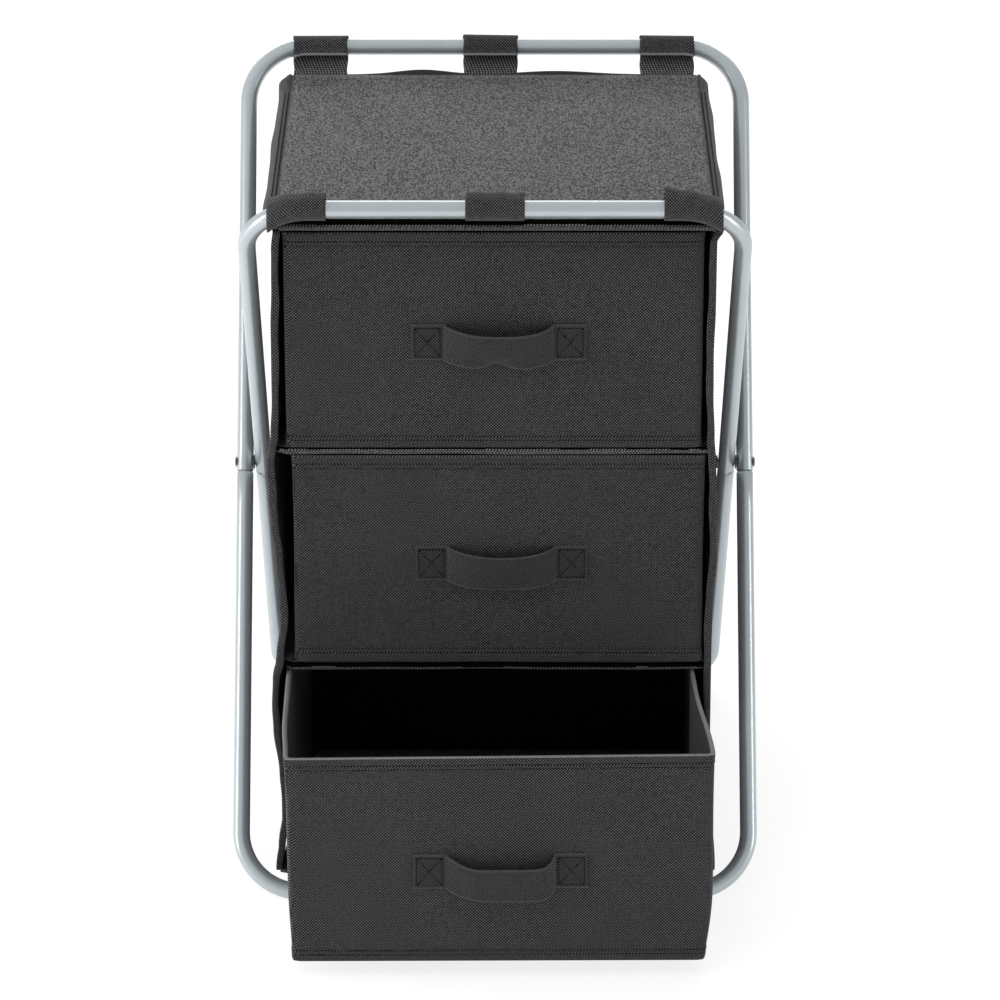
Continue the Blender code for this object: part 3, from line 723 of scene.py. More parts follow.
def sleeve(top_of, bottom_of, nose_wave, reach_left=0.0, reach_right=0.0):
    """A sheet under a board, round the front in a half circle and back over it.

    top_of and bottom_of give the middle of the cloth at (across, depth). The
    front ends reach out further, to where the side sheets stand.
    """
    reach = inside_half - SEAT_GAP
    across = np.linspace(-reach, reach, SLEEVE_COLUMNS)
    depth = np.linspace(0.0, 1.0, SLEEVE_ROWS)
    turn = np.linspace(-math.pi / 2, -3 * math.pi / 2, NOSE_POINTS)
    x = np.broadcast_to(across, (2 * SLEEVE_ROWS + NOSE_POINTS - 2, SLEEVE_COLUMNS))
    high = top_of(across, np.full_like(across, organiser_front))
    low = bottom_of(across, np.full_like(across, organiser_front))
    radius = (high - low) / 2
    start = organiser_front + CLOTH / 2 + radius + nose_wave(across)
    back_to_front = start + (organiser_back - start) * depth[::-1, None]
    front_to_back = back_to_front[::-1]
    nose_y = start + radius * np.cos(turn)[:, None]
    nose_z = low + radius + radius * np.sin(turn)[:, None]
    under = bottom_of(across, back_to_front)
    over = top_of(across, front_to_back)
    y = np.concatenate((back_to_front[:-1], nose_y, front_to_back[1:]))
    z = np.concatenate((under[:-1], nose_z, over[1:]))
    near = ridge(y, organiser_front, NOSE_NEAR)
    left = eased(-x, reach - NOSE_CORNER, reach) * reach_left
    right = eased(x, reach - NOSE_CORNER, reach) * reach_right
    return np.stack((x + near * (right - left), y, z), -1)


BAR_SHADOW_DEPTH = 0.0125
REAR_CORNER = (0.040, 0.012)
CREASE_X = -0.0625
CREASE_BEHIND = 0.022
CREASE_SIZE = (0.014, 0.0013, 0.0004)
TOP_SWELL = 0.00012


def top_slope(across):
    """How far the top drops past its board: 0 over the board, then easing."""
    past = (np.abs(across) - (inside_half - TOP_EDGE_WIDTH)) / TOP_EDGE_WIDTH
    past = np.clip(past, 0.0, 1.4)
    return TOP_EDGE_DROP * past * (0.35 + 0.65 * np.clip(past, 0.0, 1.0))


def top_waves(across, depth):
    """Shallow hollows of the top cloth and one crease near its front."""
    swell = np.sin(across * 31.0 + 0.6) * np.sin(depth * 23.0 + 1.1)
    swell = swell + 0.6 * np.sin(across * 57.0 + depth * 41.0)
    aside, behind = across - CREASE_X, depth - organiser_front - CREASE_BEHIND
    length, width, height = CREASE_SIZE
    crease = ridge(aside * 0.97 + behind * 0.24, 0.0, length)
    crease = crease * ridge(behind * 0.97 - aside * 0.24, 0.0, width)
    return TOP_SWELL * (1.0 + swell / 1.6) + height * crease


def rear_rise(depth):
    """The top's sides drop, but its rear corners stay level with its board."""
    first, last = REAR_CORNER
    return 0.8 * eased(depth, organiser_back - first, organiser_back - last)


def top_over(across, depth):
    """Middle of the upper cloth of the top."""
    slope = top_slope(across) * (1.0 - rear_rise(depth))
    return organiser_top - CLOTH / 2 - slope + top_waves(across, depth)


def top_under(across, depth):
    """Middle of the lower cloth of the top, closing up at the side seams."""
    flat = organiser_top - SLEEVE + CLOTH / 2
    closing = eased(np.abs(across), inside_half - TOP_EDGE_WIDTH, inside_half)
    seam = organiser_top - CLOTH / 2 - TOP_EDGE_DROP - CLOTH - 2 * SEAT_GAP
    return flat + (seam - flat) * closing + 0.0 * depth


def wavy_nose(phase, size=0.0003):
    """A front fold that wanders by a size, which is 0 where it runs straight."""
    return lambda across: size * np.sin(across * 40.0 + phase)


FOLD_DROP = 0.0008
FOLD_REACH = 0.004
SHADE_DROP = 0.0042

top_points = sleeve(top_over, top_under, wavy_nose(0.0, 0.0))
top_piece = sheet_piece(
    "top_panel_cloth", top_points, top_cloth, ["top_panel"]
)
# Painted shade: a black strip along the top's front edge, where the front bar shades it.
paint(top_piece, shade_black_cloth, lambda x, y, z: y < organiser_front + BAR_SHADOW_DEPTH)
paint(top_piece, organiser_cloth, lambda x, y, z: z < organiser_top - SHADE_DROP)
# Painted light: the front fold of the top, below that strip, is painted lighter.
fold_low = organiser_top - FOLD_DROP
fold_end = organiser_front + FOLD_REACH
paint(top_piece, painted_light_cloth, lambda x, y, z: (y < fold_end) & (z < fold_low))

NOSE_SHOWN = 0.0045
NOSE_END = 0.010
NOSE_CURL = 0.0009
UNDER_CURL = 0.0015
NOSE_SAGS = (0.0003, 0.0002)
# Each row: shelf, curl, nose drop, left and right reach, and how far below the shelf's top the
# painted shadow on its nose reaches.
SHELVES = (
    ("floor_panel", 1.0, 0.0002, 0.0042, 0.0050, 0.0),
    ("lower_shelf", 4.2, 0.0015, 0.0006, 0.0, 0.0046),
    ("upper_shelf", 2.4, 0.0006, 0.0030, 0.0, 0.0020),
)


def shelf_cloth(top, phase, curl, drop):
    """Heights of a shelf's two cloths: its nose drops, and curls up at its ends."""

    def pinch(across):
        """1 at the right end and as much as the curl says at the left."""
        first = inside_half - NOSE_END
        return curl * eased(-across, first, inside_half) + eased(across, first, inside_half)

    def sag(across):
        """A slack nose: one slow wave and one fast one."""
        slow, fast = NOSE_SAGS
        return slow * np.sin(across * 26.0 + phase) + fast * np.sin(across * 71.0 + phase)

    def over(across, depth):
        """Middle of the upper cloth."""
        near = ridge(depth, organiser_front, NOSE_END)
        return top - CLOTH / 2 + near * (sag(across) - drop + NOSE_CURL * pinch(across))

    def under(across, depth):
        """Middle of the lower cloth, which hangs lower still at the nose."""
        near = ridge(depth, organiser_front, NOSE_END)
        lift = sag(across) - 1.4 * drop + (NOSE_CURL + UNDER_CURL / curl) * pinch(across)
        return top - SLEEVE + CLOTH / 2 + near * lift

    return over, under


for number, (name, curl, drop, reach_left, reach_right, shade) in enumerate(SHELVES):
    over, under = shelf_cloth(shelf_tops[number], 1.7 * number + 0.4, curl, drop)
    points = sleeve(over, under, wavy_nose(1.3 * number), reach_left, reach_right)
    piece = sheet_piece(
        f"{name}_cloth", points, organiser_cloth, [name]
    )
    nose_end = organiser_front + NOSE_SHOWN
    shaded = shelf_tops[number] - shade
    # Painted light: each shelf's nose is painted lighter.
    paint(piece, painted_light_cloth, lambda x, y, z: y < nose_end)
    # Painted shadow: the upper part of the nose is painted black, the shadow line under the
    # drawer above.
    paint(piece, shade_black_cloth, lambda x, y, z: (y < nose_end) & (z > shaded))
print("sleeves made")

# %% [markdown]
# ### Side sheets and their tape
#
# Between two shelves the side sheet stands out in a soft belly, which the
# photograph shows along its front edge. The belly is a smooth curve through a
# few marks: a height, and how many millimetres the edge stands out there. It
# flattens towards the back, where the back sheet holds the edge, and the lower
# front corners hang free and flare.

# %% Side sheets
EDGE = {
    "left": (
        (0.010, 4.5), (0.020, 4.3), (0.041, 1.9), (0.067, -1.4), (0.084, -1.4), (0.108, 0.0),
        (0.148, 4.3), (0.168, 5.0), (0.193, 4.0), (0.211, 0.6), (0.247, -3.5), (0.274, -2.6),
        (0.300, -0.4), (0.332, 2.6), (0.355, 4.2), (0.383, 5.0), (0.397, 3.2), (0.406, 1.6),
        (0.440, 0.0), (0.500, -0.2), (0.533, -1.4), (0.566, -1.8), (0.582, -3.4),
    ),
    "right": (
        (0.010, 5.4), (0.020, 5.2), (0.069, 2.6), (0.110, 0.2), (0.156, -1.1), (0.218, -1.3),
        (0.268, -1.0), (0.300, 1.6), (0.332, 0.8), (0.360, 0.6), (0.387, -0.8), (0.406, -2.2),
        (0.443, -3.8), (0.479, -4.2), (0.515, -3.3), (0.572, -3.3), (0.582, 1.8),
    ),
}
MILLIMETRE = 0.001
SIDE_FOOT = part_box("side_panel_left")[0].z
SIDE_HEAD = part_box("side_panel_left")[1].z
SIDE_RIPPLE = 0.0007
BACK_HOLDS = 0.06
FLARE = (0.02, 0.14)
RIPPLE_START = 0.05
CORNER_CREEP = 0.06
TIP_RISE = 0.0075


def swing(height, label):
    """How far a front edge stands out at each height, eased between marks."""
    marks, sizes = np.array(EDGE[label]).T
    place = np.clip(np.searchsorted(marks, height, side="right") - 1, 0, len(marks) - 2)
    share = (height - marks[place]) / (marks[place + 1] - marks[place])
    blend = (1.0 - np.cos(math.pi * np.clip(share, 0.0, 1.0))) / 2.0
    return MILLIMETRE * (sizes[place] + (sizes[place + 1] - sizes[place]) * blend)


def side_out(height, depth, label, side):
    """How far a side sheet stands out of its plane at a height and depth."""
    back = eased(depth, organiser_back - BACK_HOLDS, organiser_back)
    along = 1.0 - 0.62 * eased(depth - organiser_front, *FLARE)
    between = np.sin(math.pi * np.clip((height - SIDE_FOOT) / (SIDE_HEAD - SIDE_FOOT), 0, 1))
    between = between * eased(depth, organiser_front, organiser_front + RIPPLE_START)
    ripple = np.sin(height * 61.0 + side) * np.sin(depth * 37.0 + height * 9.0)
    return (swing(height, label) * along + SIDE_RIPPLE * ripple * between) * (1.0 - back)


def sheet_heights(depth, rows):
    """Heights of a side sheet: its lower front corner has crept up."""
    corner = 1.0 - eased(depth, organiser_front, organiser_front + CORNER_CREEP)
    foot = SIDE_FOOT + TIP_RISE * corner
    return foot + (SIDE_HEAD - foot) * np.linspace(0.0, 1.0, rows)[:, None]


for label, side in SIDES:
    depth = np.linspace(organiser_front, organiser_back, 64)[None, :]
    height = sheet_heights(depth, 170)
    x = side * (half_organiser - CLOTH / 2 + side_out(height, depth, label, side))
    node = f"side_panel_{label}"
    points = points_at(x, depth, height)
    sheet_piece(f"{node}_cloth", points, organiser_cloth, [node])
print("side sheets made")

# %% Tape on the front edges and along the top
BINDING_FACE = 0.0048
BINDING_LEG = 0.0090
BINDING_FOLD = 0.0009
WANDERS = (0.0004, 0.0003)


def rounded_path(corners, radius, steps=5):
    """A polyline in the plane with its inner corners turned into small arcs.

    Each corner becomes points on the quadratic curve from a radius before it
    to a radius after it.
    """
    corners = np.array(corners)
    points = [corners[:1]]
    share = np.linspace(0.0, 1.0, steps)[:, None]
    for before, corner, after in zip(corners, corners[1:], corners[2:]):
        start = corner + (before - corner) * min(0.5, radius / math.dist(before, corner))
        end = corner + (after - corner) * min(0.5, radius / math.dist(after, corner))
        curve = (1 - share) ** 2 * start + 2 * share * (1 - share) * corner + share**2 * end
        points.append(curve)
    return np.concatenate((*points, corners[-1:]))


binding_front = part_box("front_binding_left")[0].y + CLOTH / 2
for label, side in SIDES:
    outer = half_organiser + SEAT_GAP + CLOTH / 2
    folds = [
        (outer, binding_front + BINDING_LEG),
        (outer, binding_front),
        (outer - BINDING_FACE + BINDING_FOLD, binding_front),
        (outer - BINDING_FACE, binding_front + BINDING_FOLD * 1.4),
    ]
    across, depth = rounded_path(folds, BINDING_FOLD).T[:, None, :]
    height = sheet_heights(organiser_front + 0.0 * depth, 190)
    fast, slow = WANDERS
    wander = fast * np.sin(height * 120.0 + side) + slow * np.sin(height * 47.0)
    x = side * (across + swing(height, label) + wander * (across < outer - BINDING_FOLD))
    points = points_at(x, depth - 0.3 * np.abs(wander), height)
    node = f"front_binding_{label}"
    sheet_piece(f"{node}_tape", points, tab_cloth, [node])

TAPE_INNER = 0.1736
TAPE_BULGE = {"left": 0.0068, "right": 0.0052}
TAPE_KEEP = 0.55
TAPE_DEPTH = 0.0120
TAPE_FOLD = 0.003
TAPE_STEPS = ((0.0008, 0.0072), (0.0, 0.0046), (0.0030, 0.0012))
TAPE_FOOT = 0.0108
TAPE_SIDE_TOP = 0.0060
REAR_ROUNDING = 0.014
FRONT_PULL = 0.0022
REAR_PULL = 0.0048
PULLED_FRONT = (-0.02, 0.05)
DRIFTS = (0.0006, 0.0002)
tape_seams = {}
for label, side in SIDES:
    low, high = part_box(f"top_binding_{label}")
    depth = np.linspace(low.y, high.y, 90)[:, None]
    wall = half_organiser + SEAT_GAP + CLOTH / 2
    edge = wall + TAPE_BULGE[label]
    seat = organiser_top + SEAT_GAP + CLOTH / 2 - TOP_EDGE_DROP
    steps = [(edge - inward, seat - down) for inward, down in TAPE_STEPS]
    folds = [(wall, seat - TAPE_FOOT), *steps, (TAPE_INNER, seat)]
    across, height = rounded_path(folds, TAPE_FOLD, 7).T[:, None, :]
    ends = eased(depth - low.y, *PULLED_FRONT)
    rounding = eased(depth, high.y - REAR_ROUNDING, high.y) ** 2
    slow, fast = DRIFTS
    drift = slow * np.sin(depth * 37.0 + 2.0 * side) + fast * np.sin(depth * 83.0)
    pull = FRONT_PULL * (1.0 - ends) + REAR_PULL * rounding - drift
    x = side * (across - pull * eased(across, TAPE_INNER, edge))
    rise = TOP_EDGE_DROP * rear_rise(depth) * (height > seat - TAPE_SIDE_TOP)
    node = f"top_binding_{label}"
    points = points_at(x, depth, height + rise)
    piece = sheet_piece(f"{node}_tape", points, tab_cloth, [node])
    press = ((float(side), 0.0, 1.0), (side * wall, 0.0, seat - TAPE_DEPTH / 2), TAPE_KEEP)
    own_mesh(piece)
    tape_seams[label] = (side, seat + CLOTH / 2, low.y, high.y, press)
print("tape made")

# %% [markdown]
# ### Back sheet
#
# The back can't be seen in the photograph, so it is kept plain: one sheet sewn
# along the shelves, a little full between them. Its top edge shows from the
# front as a thin dark band that rises in waves between the tabs.

# %% Back sheet
BACK_FULLNESS = 0.0018
BACK_RIPPLE = 0.0004
BACK_WAVES = ((-0.062, 0.030, 0.0042), (0.052, 0.042, 0.0030))
BACK_CORNER = (0.008, 0.004)
BAND = 0.02
CORNER_BAND = 0.03

back_low, back_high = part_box("back_panel")
height = np.linspace(back_low.z, back_high.z, 120)[:, None]
across = np.linspace(-half_organiser, half_organiser, 90)[None, :]
full = np.zeros_like(height)
for low, high in zip(shelf_tops, shelf_tops[1:]):
    inside = (height > low) & (height < high)
    full = full + inside * np.sin(math.pi * np.clip((height - low) / (high - low), 0, 1)) ** 2
edge_share = across / half_organiser
swell = full * BACK_FULLNESS * np.cos(math.pi * edge_share / 2)
swell = swell + full * BACK_RIPPLE * np.sin(across * 34.0) * (1.0 - np.abs(edge_share))
lift = sum(ridge(across, middle, width) * size for middle, width, size in BACK_WAVES)
lift = lift * eased(height, organiser_top - BAND, organiser_top)
corner_width, corner_size = BACK_CORNER
corner_drop = corner_size * eased(np.abs(across), half_organiser - corner_width, half_organiser)
corner_drop = corner_drop * eased(height, organiser_top - CORNER_BAND, organiser_top)
back_y = organiser_back + SEAT_GAP + CLOTH / 2 + swell
points = points_at(across, back_y, height + lift - corner_drop)
sheet_piece("back_panel_cloth", points, organiser_cloth, ["back_panel"])
print("back sheet made")

# %% [markdown]
# ## Tabs round the bars
#
# Six short straps hang the organiser. A strap is a path in the y-z plane that
# is worked out anew at each distance across, because the outer straps reach
# into the bends of the bars, where the tube turns away. A rear strap comes up
# the back, over the bar and down its tail. A front strap goes under and round
# the bar, then slackly back down onto the top.

# %% Where the bar is
TAB_COLUMNS = 19
TAB_SHARE = np.linspace(-0.5, 0.5, TAB_COLUMNS)
BEND_EASE = 0.0038


def bar_at(across, half_width, lean):
    """Centre of a top bar at each distance across, its bend's drop and stretch.

    Past the bend's start the centre line drops as a quarter circle does, and
    a level slice through the tube grows longer.
    """
    past = np.maximum(0.0, np.abs(across) - (half_width - BEND_RADIUS))
    slope = np.sqrt(1.0 - (past / BEND_RADIUS) ** 2)
    drop = BEND_RADIUS * (1.0 - slope)
    reach = LOOP_REACH - drop
    depth = PIVOT[1] + lean * reach * math.sin(LOOP_TILT)
    height = PIVOT[2] + reach * math.cos(LOOP_TILT)
    return depth, height, drop, 1.0 / slope


def touching_angle(point, centre, radius, turn):
    """Angle round a circle where a line from a point just touches it."""
    off_y, off_z = point[0] - centre[0], point[1] - centre[1]
    run = np.hypot(off_y, off_z)
    return np.arctan2(off_z, off_y) + turn * np.arccos(radius / run)


def round_the_bar(centre, radius, first, last, steps):
    """Points on an arc about the bar at each distance across."""
    share = np.linspace(0.0, 1.0, steps)[:, None]
    angle = first + (last - first) * share
    return centre[0] + radius * np.cos(angle), centre[1] + radius * np.sin(angle)


def strap(across, routes):
    """Stack the parts of a route into rows of points."""
    return np.concatenate([points_at(across, *part) for part in routes])


# %% Rear tabs
REAR_LAP = 0.016
REAR_TAIL = 0.0075
REAR_TURN = 0.85
REAR_SPREAD = 0.147
TAB_FRAY = 0.0004
TAB_WIDEN = 0.0006
TAIL_KICK = 0.0014
SEAM_SHADE = 0.002
CROWN_BACK = 0.001
CROWN_WIDTH = 0.0075
REAR_HABITS = {
    "left": (-0.0020, 0.0012, 0.0014),
    "centre": (-0.0038, 0.0026, 0.0018),
    "right": (0.0, 0.0018, 0.0012),
}

for place, side in PLACES:
    aside, *crowns = REAR_HABITS[place]
    across = side * REAR_SPREAD + aside + TAB_SHARE * TAB_WIDTH
    depth, height, drop, longer = bar_at(across, OUTER_HALF_WIDTH, 1)
    radius = TUBE_RADIUS * longer + SEAT_GAP + TAB_CLOTH / 2 + REAR_TURN * drop
    back = organiser_back + 2 * SEAT_GAP + CLOTH + TAB_CLOTH / 2
    top = (np.full_like(across, back), np.full_like(across, organiser_top))
    first = touching_angle(top, (depth, height), radius, 1)
    last = touching_angle(top, (depth, height), radius, -1) % (2 * math.pi)
    arc = round_the_bar((depth, height), radius, first, last, 34)
    touch = (arc[0][-1], arc[1][-1])
    run = np.hypot(touch[0] - top[0], touch[1] - top[1])
    tail_share = np.linspace(0.15, 1.0, 7)[:, None] * REAR_TAIL / run
    tail = [near + (far - near) * tail_share for near, far in zip(touch, top)]
    rise = np.linspace(-REAR_LAP, 0.0, 9)[:, None]
    climb = (back + 0.0 * rise, organiser_top + rise)
    points = strap(across, [climb, arc, tail])
    points = softened(resampled(points, 90), 2)
    rows = np.linspace(0.0, 1.0, len(points))[:, None]
    edges = np.sign(TAB_SHARE) * (np.abs(TAB_SHARE) > 0.45)
    fray = TAB_FRAY * np.sin(rows * 21.0 + side) * edges
    widen = TAB_WIDEN * ridge(rows, 0.62, 0.12) * TAB_SHARE * 2.0
    points[..., 0] += fray + widen
    crown = np.interp(TAB_SHARE, (-0.5, 0.5), crowns)
    over_bar = ridge(points[..., 1], depth - CROWN_BACK, CROWN_WIDTH) * (points[..., 2] > height)
    points[..., 2] += over_bar * crown
    points[..., 1] -= TAIL_KICK * eased(rows, 0.93, 1.0)
    node = f"rear_tab_{place}"
    piece = sheet_piece(
        f"{node}_cloth", points, tab_cloth, [node], wall=TAB_CLOTH
    )
    # Painted highlight: the last row of faces, the tail's kicked-out edge, is painted light.
    last_faces = 2 * (TAB_COLUMNS - 1)
    paint(piece, worn_and_lit_fold, lambda x, y, z: np.arange(len(x)) >= len(x) - last_faces)
    below = height.min() - TUBE_RADIUS
    above_back = organiser_top - SEAM_SHADE

    def on_the_climb(x, y, z):
        """Faces between the back sheet's edge and the bar, on the way up."""
        return (np.arange(len(x)) < len(x) // 2) & (z < below) & (z > above_back)

    # Painted light: the climb between the back sheet's edge and the bar is painted lighter.
    paint(piece, painted_light_cloth, on_the_climb)
print("rear tabs made")

# %% [markdown]
# ### Front tabs
#
# As the frame folds, the front bar leaves the top panel, and the slack end of a front strap
# folds in under its bar. So each front strap is three pieces that meet on the bar: the wrap, the
# root and the slack end.

# %% Front tabs
FRONT_LAP = 0.022
FRONT_SPREAD = INNER_HALF_WIDTH - 0.0406
LEAVES_BAR = 2.75
TAB_LIFT = {"left": (0.0036, 0.0042), "centre": (0.0046, 0.0042), "right": (0.0088, 0.0024)}
SLACK_CROWNS = ((-0.0042, 0.1), (0.0010, 0.8), (0.0080, 1.0))
SLACK_BEHIND = 0.006
SLACK_TAPER = 0.05

for place, side in PLACES:
    middle = side * FRONT_SPREAD
    across = middle + TAB_SHARE * TAB_WIDTH
    depth, height, drop, longer = bar_at(across, INNER_HALF_WIDTH, -1)
    radius = TUBE_RADIUS * longer + SEAT_GAP + TAB_CLOTH / 2 + BEND_EASE * (longer - 1.0)
    lap = organiser_top + SEAT_GAP + TAB_CLOTH / 2 - top_slope(across)
    edge = organiser_front
    start_angle = touching_angle((edge + 0.0 * across, lap), (depth, height), radius, -1)
    start_angle = start_angle % (2 * math.pi)
    arc = round_the_bar((depth, height), radius, start_angle, LEAVES_BAR, 30)
    run_back = np.linspace(FRONT_LAP, 0.0, 9)[:, None]
    under = (edge + run_back, lap + 0.0 * run_back)
    crown = height + radius
    over = lap + TAB_CLOTH + SEAT_GAP
    lift = np.interp(TAB_SHARE, (-0.5, 0.5), TAB_LIFT[place])
    lift = lift * (1.0 + 0.10 * np.sin(TAB_SHARE * 15.0 + 2.0 * side))
    slack = [(depth + back, crown + part * lift) for back, part in SLACK_CROWNS]
    slack += [(edge + part * FRONT_LAP, over) for part in (0.5, 1.0)]
    slack = np.stack([points_at(across, y, z) for y, z in slack])
    whole = resampled(np.concatenate((strap(across, [under, arc]), slack)), 120)
    behind = eased(whole[..., 1], depth + SLACK_BEHIND, edge + FRONT_LAP)
    upper = np.linspace(0.0, 1.0, len(whole))[:, None] > 0.6
    whole = softened(whole, 5)
    taper = 1.0 - SLACK_TAPER * upper * behind
    whole[..., 0] = (whole[..., 0] - middle) * taper + middle
    in_front = whole[:, TAB_COLUMNS // 2, 1] < depth[TAB_COLUMNS // 2]
    low_row = np.argmax(in_front)
    bar_row = low_row + np.argmin(in_front[low_row:])
    # Painted shade: the root under the bar is painted black, as it lies in the bar's shade.
    for word, points, finish, nodes in (
        ("wrap", whole[low_row : bar_row + 1], tab_cloth, [f"front_tab_{place}"]),
        ("root", whole[: low_row + 1], shade_black_cloth, []),
        ("slack", whole[bar_row:], tab_cloth, []),
    ):
        name = f"front_tab_{place}_{word}"
        piece = sheet_piece(
            name, points, finish, nodes, "inner_frame", TAB_CLOTH
        )
        if not nodes:
            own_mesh(piece)
print("front tabs made")

# %% [markdown]
# ## Drawers
#
# A drawer is a sewn box of the same cloth with stiff walls. One grid makes it
# all: a ring with rounded corners is carried from the middle of its underside
# up the outside, over the hem and down the inside to the middle of its floor.
# Stitch lines pull the cloth in, the folded hem and the bottom seam stand out,
# and each wall has shallow hollows.

# %% A ring with rounded corners
DRAWER_CORNER = 0.0070
WALL = 0.0030
HEM_STITCHES = (0.0070, 0.0106)
SEAM_STITCHES = {"top": (0.0062, 0.0096), "middle": (0.0080, 0.0112), "bottom": (0.0062, 0.0096)}
HEM_PUFF = 0.0005
HEM_EASE = 0.0012
HEM_INNER_EASE = 0.0004
PIPING = 0.0007
LIP_SHOWN = 0.0009
RIM = 0.0012
STITCH_DEPTH = 0.0009
STITCH_SPREAD = 0.0008
DROOP = {"bottom": (0.0040, 0.0002, 0.0036, 0.0024)}
WALL_BOWS = {"bottom": (0.0070, -0.0060, 0.0052)}
CORNER_POINTS = 11
RUN_POINTS = 56
DENSE_BAND = 0.0136
DENSE_STEP = 0.0004


def rounded_ring(half_x, half_y, radius):
    """Points round a rectangle with round corners, and their outward normals.

    Each quarter is a straight run along one side and then the arc that leads
    to the next side.
    """
    angle = np.linspace(0.0, math.pi / 2, CORNER_POINTS)[:, None]
    run = np.linspace(-1.0, 1.0, RUN_POINTS + 2)[1:-1, None]
    places, normals = [], []
    for quarter in range(4):
        facing = quarter * math.pi / 2
        normal = np.array((math.cos(facing), math.sin(facing)))
        tangent = np.array((-normal[1], normal[0]))
        flat, length = (half_x, half_y) if quarter % 2 == 0 else (half_y, half_x)
        places.append(normal * flat + tangent * run * (length - radius))
        normals.append(np.repeat(normal[None], RUN_POINTS, 0))
        corner = normal * (flat - radius) + tangent * (length - radius)
        direction = normal * np.cos(angle) + tangent * np.sin(angle)
        places.append(corner + radius * direction)
        normals.append(direction)
    return np.concatenate(places), np.concatenate(normals)


# %% Hollows and bows of the walls
DENTS = (0.00045, 0.00025, 0.00012)


def hollows(across, height, seed):
    """Shallow dents of a stiff wall, worked out from a few slow waves."""
    slow = np.sin(across * 19.0 + seed) * np.sin(height * 33.0 + 2.0 * seed)
    middle = np.sin(across * 41.0 - 1.7 * seed + height * 12.0)
    fine = np.sin(across * 83.0 + height * 64.0 + seed) * 0.35
    return DENTS[0] * slow + DENTS[1] * middle + DENTS[2] * fine


